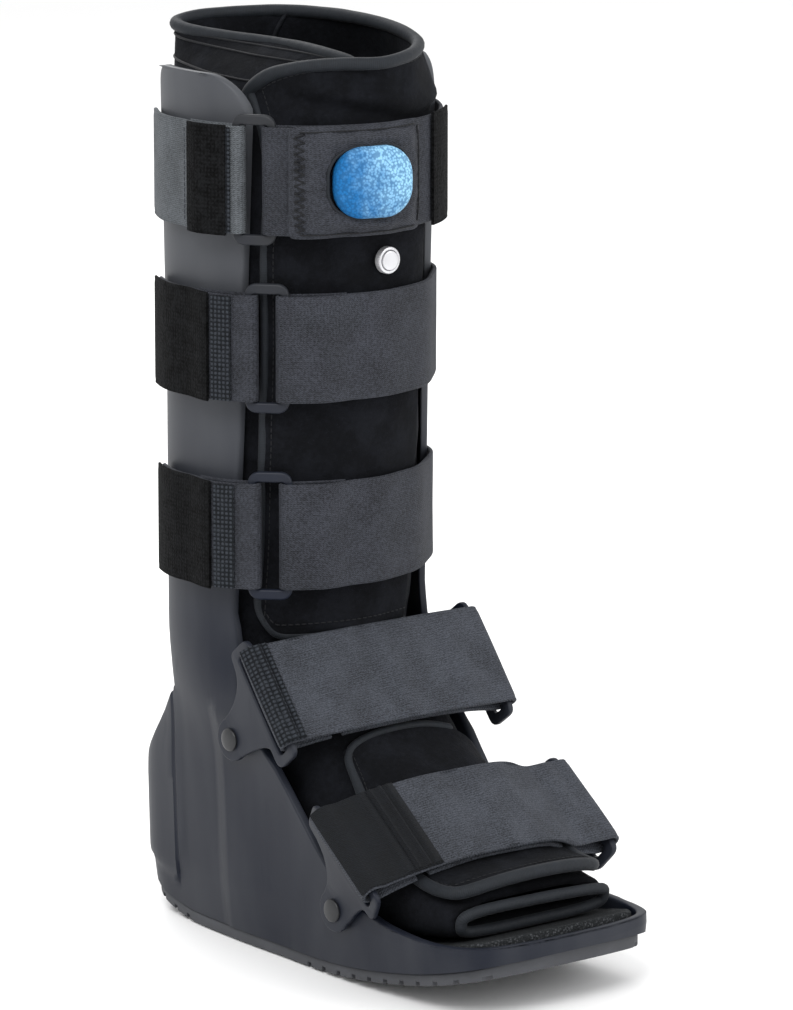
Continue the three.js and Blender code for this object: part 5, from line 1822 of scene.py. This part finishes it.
def ribbon(
    name: str,
    line: Array,
    thickness: float,
    width: float,
    place: Callable[[Array, Array], Array],
    wave: float = 0.25,
    relief: Callable[[Array, Array], Array] | None = None,
) -> bpy.types.Object:
    """A webbing band swept along a line seen end on.

    Args:
        name: the piece's name.
        line: the band's middle as two numbers for each point.
        thickness: its thickness.
        width: its width.
        place: gives 3-D points for points of the line's plane and places across the band.
        wave: how far it ripples.
        relief: a rise of its outside for lengths along it and places across it.

    Returns:
        The object.
    """
    line = spaced(line, 1.9)
    ahead = np.gradient(line, axis=0)
    ahead /= np.linalg.norm(ahead, axis=1)[:, None]
    normal = np.column_stack([ahead[:, 1], -ahead[:, 0]])
    along = lengths(line)
    half, t = width / 2, thickness / 2
    edge = min(t * 0.95, 1.0)
    inner = np.linspace(-half + edge, half - edge, 19)
    arc = np.linspace(math.pi / 2, -math.pi / 2, 7)[1:-1]
    side = half - edge + edge * np.cos(arc)
    across = np.concatenate([inner, side, inner[::-1], -side])
    out = np.concatenate([np.full(19, t), t * np.sin(arc), np.full(19, -t), -t * np.sin(arc)])
    outside = np.concatenate([np.ones(19), np.zeros(5), np.zeros(19), np.zeros(5)])
    aa, cc = np.meshgrid(along, across, indexing="ij")
    flat = np.stack([aa, cc, np.zeros_like(aa)], axis=-1).reshape(-1, 3)
    ripple = (wave * clouds(flat * np.array([1, 0.6, 1]), 21, len(name))).reshape(aa.shape)
    curl = -0.35 * smoothstep(np.abs(cc), half - 4, half) * min(1.0, thickness / 2)
    ends = np.minimum(aa, along[-1] - aa)
    ripple *= smoothstep(ends, 0, 12)
    rise = relief(aa, cc) * outside[None] if relief else 0.0
    offset = out[None] + ripple + curl * outside[None] + rise
    spots = line[:, None] + normal[:, None] * offset[..., None]
    points = place(spots, cc)
    draft = Draft()
    index = draft.add(points, np.stack([aa, cc], axis=-1))
    draft.grid(index, wrap_columns=True)
    draft.fan(index[0])
    draft.fan(index[-1])
    obj = draft.build(name)
    smooth_shade(obj, 50)
    return obj


def standing(height: float) -> Callable[[Array, Array], Array]:
    """Places a band upright in plan at a height."""
    return lambda spots, across: np.concatenate([spots, (height + across)[..., None]], axis=-1)


@dataclass
class CalfStraps:
    """The three calf straps with their tabs, hook patches and buckles."""

    form: BootForm
    finishes: Wardrobe
    back_turn: float = 0.84
    patch_thickness: float = 1.6
    buckle_height: float = 61.5
    seam_distance: float = 20.0
    rows: tuple[tuple[str, float, float, tuple[float, float], float], ...] = (
        ("top", 372.54, 0.165, (0.275, 0.322), 0.348),
        ("middle", 292.99, 0.183, (0.183, 0.3), 0.36),
        ("lower", 202.99, 0.187, (0.187, 0.3), 0.36),
    )

    def __post_init__(self) -> None:
        """Draws each strap's plan once."""
        self.paths = {name: StrapPath(self.form, height, buckle) for name, height, _, _, buckle in self.rows}

    def patch(
        self, name: str, path: StrapPath, side: int, span: tuple[float, float], thickness: float, extra: float
    ) -> bpy.types.Object:
        """A patch laid on the outside of a strap between two turns."""
        lift = path.thickness / 2 + 0.6 + thickness / 2
        line = path.run(*span, lambda turn: path.layer_out(turn, side) + lift)
        return ribbon(name, line, thickness, path.width + extra, standing(path.height), 0.15)

    def build(self) -> None:
        """Builds and dresses every calf strap."""
        worn = self.finishes
        for name, height, tab_turn, span, _ in self.rows:
            path = self.paths[name]
            place = standing(height)
            main = ribbon(f"{name}_webbing", path.folded(1, self.back_turn), 2.2, path.width, place, 0.3)
            piece(main, worn.calf, [f"{name}_strap"])
            tab = ribbon(f"{name}_tab_webbing", path.folded(-1, tab_turn), 2.2, path.width, place, 0.15)
            tab_finish = worn.bright if name == "top" else worn.calf
            piece(tab, tab_finish, [f"{name}_tab"])
            hook = self.patch(f"{name}_hook_tape", path, -1, span, self.patch_thickness, 1.2)
            piece(hook, worn.hook, [f"{name}_hook_patch"])
            gap = (span[1] + 0.004, path.start(-1) - 0.002)
            dotted = self.patch(f"{name}_dotted_tape", path, -1, gap, 0.9, -1.0)
            piece(dotted, worn.dotted)
            self._seams(name, path)
            self._buckle(name, path)

    def _seams(self, name: str, path: StrapPath) -> None:
        """The cross seam that holds the tab's fold."""
        turn = path.start(-1) - self.seam_distance / path.arc
        spot = path.at(turn, path.layer_out(turn, -1) + path.thickness / 2 + 1.6)
        z = path.height + np.linspace(-path.width / 2 + 3, path.width / 2 - 3, 40)
        row = np.column_stack([np.full(40, spot[0]), np.full(40, spot[1]), z])
        thread = stitches(f"{name}_seam_stitches", [row], 2.6, 0.66, 0.32)
        piece(thread, self.finishes.thread)

    def _buckle(self, name: str, path: StrapPath) -> None:
        """The rounded frame that both folds hold."""
        outline = rounded(path.buckle_width, self.buckle_height, 5.5)
        hole = rounded(path.buckle_width - 2 * path.bar, path.width + 0.6, 2)
        obj = plate(f"{name}_frame", outline, [hole], path.bar, 1.15)
        centre, along, outward = path.frame()
        out = np.append(outward, 0)
        at = np.array([*centre, path.height]) - out * path.bar / 2
        stand(obj, np.append(along, 0), UP, out, at)
        clean(obj)
        piece(obj, self.finishes.hardware, [f"{name}_buckle"], angle=40)


# The brackets and the straps over the foot


@dataclass
class FootStrap:
    """One strap over the foot with its two brackets and rivets."""

    form: BootForm
    finishes: Wardrobe
    name: str
    upper: tuple[float, float]
    lower: tuple[float, float]
    rivet: tuple[float, float]
    out: float
    bulge: float
    loop_bar: float = 5.0
    slot: float = 7.0
    depth: float = 3.0
    lobe: float = 10.5
    rivet_radius: float = 5.5
    ribs: tuple[float, ...] = ()
    dip: float = 0.0
    cover: float = 34.0
    cover_finish: bpy.types.Material | None = None

    def __post_init__(self) -> None:
        """Works out where the bracket lies on the shell."""
        upper, lower, rivet = (np.array(p) for p in (self.upper, self.lower, self.rivet))
        along = lower - upper
        self.length = float(np.linalg.norm(along))
        along = along / self.length
        over = np.array([along[1], -along[0]])
        grid = [(a, b) for a in (-1, -0.5, 0, 0.5, 1) for b in (-1, 0, 1, 1.6)]
        spots = np.array([*(rivet + (along * a + over * b) * self.lobe for a, b in grid), rivet])
        side = self.form.half_width(spots[:, 0], spots[:, 1], -0.7)
        self.seat = float(side[:-1].max()) + self.form.gap
        self.shank = self.seat - float(side[-1]) - 0.6
        to_loop = (upper + lower) / 2 - rivet
        self.shift = -float(to_loop @ along)
        self.rise = float(to_loop @ over)
        bar_at = self.rise + (self.slot + self.loop_bar) / 2
        self.bend = self.rivet_radius + 0.5
        self.slope = (self.out - self.depth / 2 - self.seat) / (bar_at - self.bend)
        self.along = np.array([0, *along])
        self.over = np.array([0, *over])
        bar = rivet + over * bar_at - along * self.shift
        self.bar = np.array([-self.out, *bar])

    def _outline(self) -> Array:
        """The bracket's outline round its rivet and its loop."""
        half, deep = self.length / 2, self.slot / 2 + self.loop_bar
        top, low, left, right = self.rise + deep, self.rise - deep, -half - self.shift, half - self.shift
        r, lobe = 5.0, self.lobe

        def bend(a: tuple[float, float], b: tuple[float, float], c: tuple[float, float]) -> list[Array]:
            """A quadratic curve from a to c."""
            return [
                (1 - t) ** 2 * np.array(a) + 2 * t * (1 - t) * np.array(b) + t * t * np.array(c)
                for t in np.linspace(0, 1, 9)
            ]

        angle = np.linspace(0.94 * math.pi, 2.06 * math.pi, 30)
        points = [
            *bend((left + r, top), (left, top), (left, top - r)),
            *bend((left, low + r), (left, low), (left + r, low)),
            *bend((left + r + 0.1, low), (-lobe - 2, low - 2), (-lobe, 2)),
            *np.column_stack([lobe * np.cos(angle), lobe * np.sin(angle)]),
            *bend((lobe, 2), (lobe + 3, low - 3), (lobe + 8, low)),
            *bend((right - r, low), (right, low), (right, low + r)),
            *bend((right, top - r), (right, top), (right - r, top)),
        ]
        points = np.array(points)
        keep = np.linalg.norm(points - np.roll(points, 1, axis=0), axis=1) > 0.15
        return points[keep]

    def _bracket(self, sign: int) -> None:
        """One bracket, bent outwards over its rivet, with the rivet's head."""
        side = "right" if sign > 0 else "left"
        half = self.length / 2
        slot = rounded(2 * half - 2 * self.loop_bar, self.slot, 2.4, (-self.shift, self.rise))
        outline = self._outline()
        obj = plate(f"{self.name}_loop_{side}", outline, [slot], self.depth, 0.9)
        work = bmesh.new()
        work.from_mesh(obj.data)
        for cut in np.linspace(self.bend - 2.5, self.bend + 2.5, 5):
            parts = [*work.verts, *work.edges, *work.faces]
            bmesh.ops.bisect_plane(work, geom=parts, dist=1e-6, plane_co=(0, cut * MM, 0), plane_no=(0, 1, 0))
        work.to_mesh(obj.data)
        work.free()
        p = points_of(obj)
        past = np.clip((p[:, 1] - self.bend + 2.5) / 5, 0, 1)
        bent = np.where(p[:, 1] > self.bend + 2.5, p[:, 1] - self.bend, 2.5 * past**2)
        p[:, 2] += self.slope * bent
        move_points(obj, p)
        flip = np.array([sign, 1, 1])
        out = np.array([-1.0, 0, 0])
        at = np.array([-self.seat, *self.rivet])
        stand(obj, self.along * flip, self.over * flip, out * flip, at * flip)
        clean(obj)
        piece(obj, self.finishes.shell, [f"{self.name}_bracket_{side}"], angle=35)
        base = self.depth + self.form.gap
        r, s = self.rivet_radius, -self.shank
        rows = [(0.02, s), (2.5, s), (2.5, base), (r - 0.2, base), (r, base + 0.2), (r, base + 0.8)]
        rows += [(r * math.cos(a), base + 0.8 + 1.4 * math.sin(a)) for a in np.linspace(0.15, 1.45, 8)]
        rows += [(0.3, base + 2.2)]
        rivet = turned(rows, 40).build(f"{self.name}_rivet_head_{side}")
        stand(rivet, self.along * flip, self.over * flip, out * flip, at * flip)
        clean(rivet)
        piece(rivet, self.finishes.rivet, [f"{self.name}_rivet_{side}"], angle=40)

    def _strap(self) -> None:
        """The strap, over the foot, round both bars and back below, with its ribbed, sewn end."""
        thick = self.depth + self.loop_bar * self.slope
        radius = math.hypot(self.loop_bar, thick) / 2 + 0.45 + 1.1
        reach, width = self.out, self.length - 2 * self.loop_bar - 0.6

        def arch(x: Array) -> Array:
            """The rise of the foot under the strap."""
            return np.maximum(0, 1 - np.abs(x / (reach - radius)) ** 2.4)

        def span(x: Array, level: float, rise: float) -> Array:
            """A run over the foot at a level above the bars, sagging once towards its left end."""
            return np.column_stack([x, level + rise * arch(x) - self.dip * np.exp(-(((x - 50) / 12) ** 2))])

        upper = span(np.linspace(-reach, reach, 90), radius, self.bulge)
        depth = self.bulge + 2 * radius - 2.2 - 0.6
        angle = np.linspace(0, math.pi, 14)[1:-1]
        near = np.column_stack([-reach - radius * np.sin(angle), -radius * np.cos(angle)])
        far = np.column_stack([reach + radius * np.sin(angle), radius * np.cos(angle)])
        below = (24 - reach, -reach, 12), (reach, 30 - reach, 70)
        ends = [span(np.linspace(*run), -radius, depth) for run in below]
        line = np.concatenate([ends[0], near, upper, far, ends[1]])
        up = self.over / np.linalg.norm(self.over)
        side = np.cross(np.array([1.0, 0, 0]), up)

        def place(spots: Array, across: Array) -> Array:
            """Lays the strap's plane on the foot."""
            flat = spots[..., :1] * np.array([1.0, 0, 0]) + spots[..., 1:] * up + across[..., None] * side
            return flat + np.array([0, *self.bar[1:]])

        under = float(lengths(ends[1])[-1]) + math.pi * radius

        def relief(along: Array, across: Array) -> Array:
            """Soft wrinkles across the strap's top, clear of its sewn end."""
            x = reach - (along - under)
            start = self.cover - reach
            clear = smoothstep(x, start + 4, start + 16) * smoothstep(reach - x, 4, 14)
            return clear * (0.7 * np.sin(x / 6.5 + across / 22) + 0.4 * np.sin(x / 3.1))

        obj = ribbon(f"{self.name}_foot_webbing", line[::-1], 2.2, width, place, 0.5, relief)
        piece(obj, self.finishes.instep, [f"{self.name}_strap"])
        top = span(np.linspace(-reach, -reach + self.cover, 40), radius + 1.1 + 0.75, self.bulge)
        hem = (radius + 1.9) * np.column_stack([np.sin(angle[6:]), np.cos(angle[6:])])
        line = np.concatenate([[-reach, 0] - hem, top])[::-1]

        def ribbed(along: Array, across: Array) -> Array:
            """The ribs across the sewn end."""
            return sum(2.0 * np.exp(-(((along - rib) / 1.3) ** 2)) for rib in self.ribs)

        cover = ribbon(f"{self.name}_sewn_end", line, 1.2, width - 0.8, place, 0.2, ribbed)
        piece(cover, self.cover_finish)

    def build(self) -> None:
        """Builds and dresses the strap and both brackets."""
        for sign in (1, -1):
            self._bracket(sign)
        self._strap()


# The pump and the valve


@dataclass
class Pump:
    """The air pump on the top strap: its pouch, its rubber bulb in the window, and its hook patch."""

    form: BootForm
    finishes: Wardrobe
    path: StrapPath
    width: float = 39.0
    height: float = 34.0
    shift: float = 2.6
    depth: float = 11.0
    turn: float = 0.458
    reach: float = 0.072
    cover: float = 1.6

    def _base(self, u: Array, v: Array, out: Array) -> Array:
        """A point over the strap: along it, up it and out of it."""
        turn = self.turn + (np.asarray(u, float) * 2 - 1) * self.reach
        base = self.path.layer_out(turn, 1) + self.path.thickness / 2 + 0.9
        spot = self.path.at(turn, base + out)
        z = self.path.height + (np.asarray(v, float) - 0.5) * (self.path.width + 2)
        return np.concatenate([spot, np.broadcast_to(z, spot.shape[:-1])[..., None]], axis=-1)

    def _swell(self, u: Array, v: Array) -> Array:
        """How far the cover stands out."""
        across = np.maximum(np.cos((u - 0.5) * math.pi), 0) ** 0.9
        return self.depth * across * (1 - np.abs(2 * v - 1) ** 4)

    def _frame(self) -> tuple[Array, Array, Array]:
        """The middle of the pump and its directions along and out."""
        at = self._base(0.5, 0.5, 0.0)
        along = self._base(0.6, 0.5, 0.0) - self._base(0.4, 0.5, 0.0)
        along = along / np.linalg.norm(along)
        return at, along, np.cross(along, UP)

    def _pouch(self) -> None:
        """The cover round its window, with the piping of the window and its seams."""
        wide = 2 * self.reach * self.path.arc
        tall = self.path.width + 2
        window = rounded(self.width - 5, self.height - 0.4, 13.5, (self.shift, 0))
        window = spaced(np.vstack([window, window[:1]]), 1.2)[:-1]
        centred = window - np.array([self.shift, 0])
        room = np.column_stack([wide / 2 - np.sign(centred[:, 0]) * self.shift, np.full(len(window), tall / 2)])
        border = centred / np.abs(centred / room).max(axis=1)[:, None] + np.array([self.shift, 0])
        steps = [(0.0, 0.0), (0.0, 0.5), (0.0, 0.86), (0.04, 0.98), (0.1, 1.0)]
        steps += [(s, 1.0) for s in np.linspace(0.2, 0.92, 9)]
        steps += [(0.97, 0.97), (1.0, 0.8), (1.0, 0.0), (0.5, 0.0)]

        def ring(share: float) -> tuple[Array, Array, Array]:
            """The places round the window, a share of the way out: flat, and as shares of the pouch."""
            flat = window * (1 - share) + border * share
            return flat, flat[:, 0] / wide + 0.5, flat[:, 1] / tall + 0.5

        rows = []
        for share, depth in steps:
            flat, u, v = ring(share)
            flush = 0.7 + 0.3 * float(smoothstep(share, 0.0, 0.5))
            out = depth * (self.cover + self._swell(u, v)) * flush
            spot = self._base(u, v, out)
            pucker = 0.5 * clouds(spot, 7, 3) + 0.35 * np.sin(np.arange(len(u)) * 0.9)
            spot[:, :2] += (spot[:, :2] - np.array([0, self.form.leg_centre])) / 60 * (pucker * depth)[:, None]
            rows.append((spot, flat))
        draft = Draft()
        index = draft.add(np.array([r[0] for r in rows]), np.array([r[1] for r in rows]))
        draft.grid(index, wrap_rows=True, wrap_columns=True)
        pouch = draft.build("pump_cover")
        modify(pouch, "SUBSURF", levels=1, render_levels=1)
        piece(pouch, self.finishes.calf, ["pump_pouch"], angle=60)

        _, u, v = ring(0.03)
        line = self._base(u, v, (self.cover + self._swell(u, v)) * 0.71 - 0.2)
        rim = tube(line, 0.8, closed=True, sides=10).build("window_piping")
        piece(rim, self.finishes.binding, angle=40)
        rows = []
        even = np.linspace(0.06, 0.94, 26)
        flat, zigzag = np.full(26, 0.045), 0.075 + 0.035 * np.where(np.arange(26) % 2, 1, -1)
        for u, v in ((zigzag, even), (1 - flat, even), (even, flat), (even, 1 - flat)):
            rows.append(self._base(u, v, self.cover + self._swell(u, v) + 0.45))
        thread = stitches("pouch_stitches", rows, 2.9, 0.86, 0.45)
        piece(thread, self.finishes.dark_thread)

    def _bulb(self) -> None:
        """The pebbled bulb, domed in its window."""
        rows = [(1, 0.11), (1, 0.72), (0.99, 0.84), (0.955, 0.95), (0.89, 1.05), (0.78, 1.14)]
        rows += [(0.62, 1.21), (0.42, 1.25), (0.2, 1.275), (0.05, 1.28)]
        outline = rounded(self.width, self.height, 14)
        outline = spaced(np.vstack([outline, outline[:1]]), 1.4)[:-1]
        draft = Draft()
        rings = [np.insert(outline * s + [self.shift, 0], 2, out * self.depth, axis=1) for s, out in rows]
        rings = np.array(rings)
        index = draft.add(rings, rings[..., :2])
        draft.grid(index, wrap_columns=True)
        draft.fan(index[0])
        draft.fan(index[-1])
        obj = draft.build("bulb_dome")
        at, along, outward = self._frame()
        stand(obj, along, UP, outward, at)
        clean(obj)
        modify(obj, "SUBSURF", levels=1, render_levels=1)
        piece(obj, self.finishes.bulb, ["pump_bulb"], angle=60)

    def build(self, straps: CalfStraps) -> None:
        """Builds and dresses the pump."""
        self._pouch()
        self._bulb()
        hook = straps.patch("pouch_hook_tape", self.path, 1, (0.56, 0.615), 1.6, 3.0)
        piece(hook, self.finishes.hook, ["pouch_hook_patch"])


@dataclass
class Valve:
    """The release valve on the flap: a collar and the button that is pressed into it."""

    form: BootForm
    finishes: Wardrobe
    height: float = 331.98
    radius: float = 6.5
    button: float = 4.6
    depth: float = 3.4
    travel: float = 1.2

    def _lathe(self, name: str, profile: Sequence[tuple[float, float]], knurl: float = 0.0) -> bpy.types.Object:
        """A turned form round the valve's axis, its front towards the toes."""
        obj = turned(profile, 192, knurl).build(name)
        at = self.form.leg_point(0.5, self.height, self.form.flap_inner + self.form.flap_thickness + 0.6)
        stand(obj, np.array([1.0, 0, 0]), UP, np.array([0, -1.0, 0]), at)
        clean(obj)
        smooth_shade(obj, 30)
        return obj

    def build(self) -> None:
        """Builds and dresses both parts."""
        r, bore, t = self.radius, self.button + self.form.gap, self.depth
        ring = [(0.05, 0), (r - 0.3, 0), (r, 0.3), (r, t - 0.8), (r - 0.25, t - 0.25), (r - 0.8, t)]
        ring += [(bore + 0.3, t), (bore, t - 0.3), (bore, 0.8), (0.05, 0.8)]
        collar = self._lathe("valve_ring", ring, 0.12)
        piece(collar, self.finishes.valve, ["valve_collar"])
        b, low, high = self.button, 0.8 + self.form.gap + self.travel, t + 0.6
        cap = [(0.05, low), (b, low), (b, high - 0.5), (b - 0.15, high - 0.15), (b - 0.5, high)]
        cap += [(b * 0.6, high - 0.12), (0.05, high - 0.25)]
        button = self._lathe("valve_push", cap)
        piece(button, self.finishes.valve, ["valve_button"], Body.BUTTON)


# The studio


@dataclass(frozen=True)
class AreaLight:
    """A soft box in the studio."""

    name: str
    place: tuple[float, float, float]
    size: float
    power: float

    def build(self, target: Vector) -> bpy.types.Object:
        """Hangs the light, facing a target."""
        data = bpy.data.lights.new(self.name, "AREA")
        data.shape = "DISK"
        data.size = self.size
        data.energy = self.power
        obj = bpy.data.objects.new(self.name, data)
        obj.location = self.place
        obj.rotation_euler = (target - Vector(self.place)).to_track_quat("-Z", "Y").to_euler()
        bpy.context.scene.collection.objects.link(obj)
        return obj


class Studio:
    """The photo's camera, a plain pale floor and soft light."""

    place = Vector((-1.8738, -2.3399, 0.8369))
    yaw = math.radians(39.28)
    pitch = math.radians(11.85)
    lens = 228.93
    lights = (
        AreaLight("key_light", (-1.6, -1.2, 2.2), 1.4, 42.0),
        AreaLight("fill_light", (1.2, -2.2, 1.3), 1.8, 20.0),
        AreaLight("rim_light", (0.6, 1.9, 1.7), 1.2, 22.0),
    )

    def _camera(self) -> None:
        """Sets the camera where the photo was taken from."""
        data = bpy.data.cameras.new("camera")
        data.sensor_fit = "VERTICAL"
        data.sensor_width = data.sensor_height = 36
        data.lens = self.lens
        data.clip_start, data.clip_end = 0.1, 50
        obj = bpy.data.objects.new("camera", data)
        level = math.cos(self.pitch)
        ahead = Vector((math.sin(self.yaw) * level, math.cos(self.yaw) * level, -math.sin(self.pitch)))
        obj.location = self.place
        obj.rotation_euler = ahead.to_track_quat("-Z", "Y").to_euler()
        bpy.context.scene.collection.objects.link(obj)
        bpy.context.scene.camera = obj

    def _floor(self) -> bpy.types.Object:
        """A plain pale floor under the boot."""
        mesh = bpy.data.meshes.new("floor")
        corners = [(x, y, -0.0005) for x, y in ((-12, -12), (12, -12), (12, 12), (-12, 12))]
        mesh.from_pydata(corners, [], [(0, 1, 2, 3)])
        floor = bpy.data.objects.new("floor", mesh)
        bpy.context.scene.collection.objects.link(floor)
        graph = Graph("floor_white")
        mesh.materials.append(graph.finish(Base_Color=(0.94, 0.94, 0.94, 1), Roughness=0.9))
        return floor

    def build(self) -> None:
        """Builds the studio round the boot."""
        scene = bpy.context.scene
        self._camera()
        floor = self._floor()
        target = Vector((0, 0, 0.2))
        hung = [light.build(target) for light in self.lights]
        world = bpy.data.worlds.new("white_room")
        world.use_nodes = True
        world.node_tree.nodes["Background"].inputs[0].default_value = (1, 1, 1, 1)
        world.node_tree.nodes["Background"].inputs[1].default_value = 1.0
        scene.world = world
        scene.view_settings.view_transform = "Standard"


def main() -> None:
    """Builds every sub-assembly and the studio."""
    logging.basicConfig(level=logging.INFO, format="%(message)s")
    form, worn = BootForm(), Wardrobe()
    Sole(form, worn).build()
    Shell(form, worn).build()
    Liner(form, worn).build()
    straps = CalfStraps(form, worn)
    straps.build()
    Pump(form, worn, straps.paths["top"]).build(straps)
    Valve(form, worn).build()
    ankle, front = form.ankle_height, form.upright_front[0]
    at_ankle = lambda ahead, up: (front - ahead * ankle, up * ankle)
    at_toes = lambda ahead, up: (form.fore(ahead), up * ankle)
    FootStrap(
        form, worn, "ankle", at_ankle(0.1305, 1.278), at_ankle(0.4525, 0.8635), at_ankle(0.0754, 0.884),
        1.065 * form.ball_half, 0.033 * form.ball_half,
        ribs=(1.5, 5.5, 9.5), cover=5.5, cover_finish=worn.dotted,
    ).build()
    FootStrap(
        form, worn, "toe", at_toes(0.6206, 0.7), at_toes(0.7868, 0.3847), at_toes(0.6502, 0.3102),
        1.161 * form.ball_half, 0.161 * form.ball_half,
        ribs=(3.0, 8.0, 13.0, 18.0), cover=35.0, dip=5.0, cover_finish=worn.dim,
    ).build()
    Studio().build()
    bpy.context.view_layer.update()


if __name__ == "__main__":
    main()
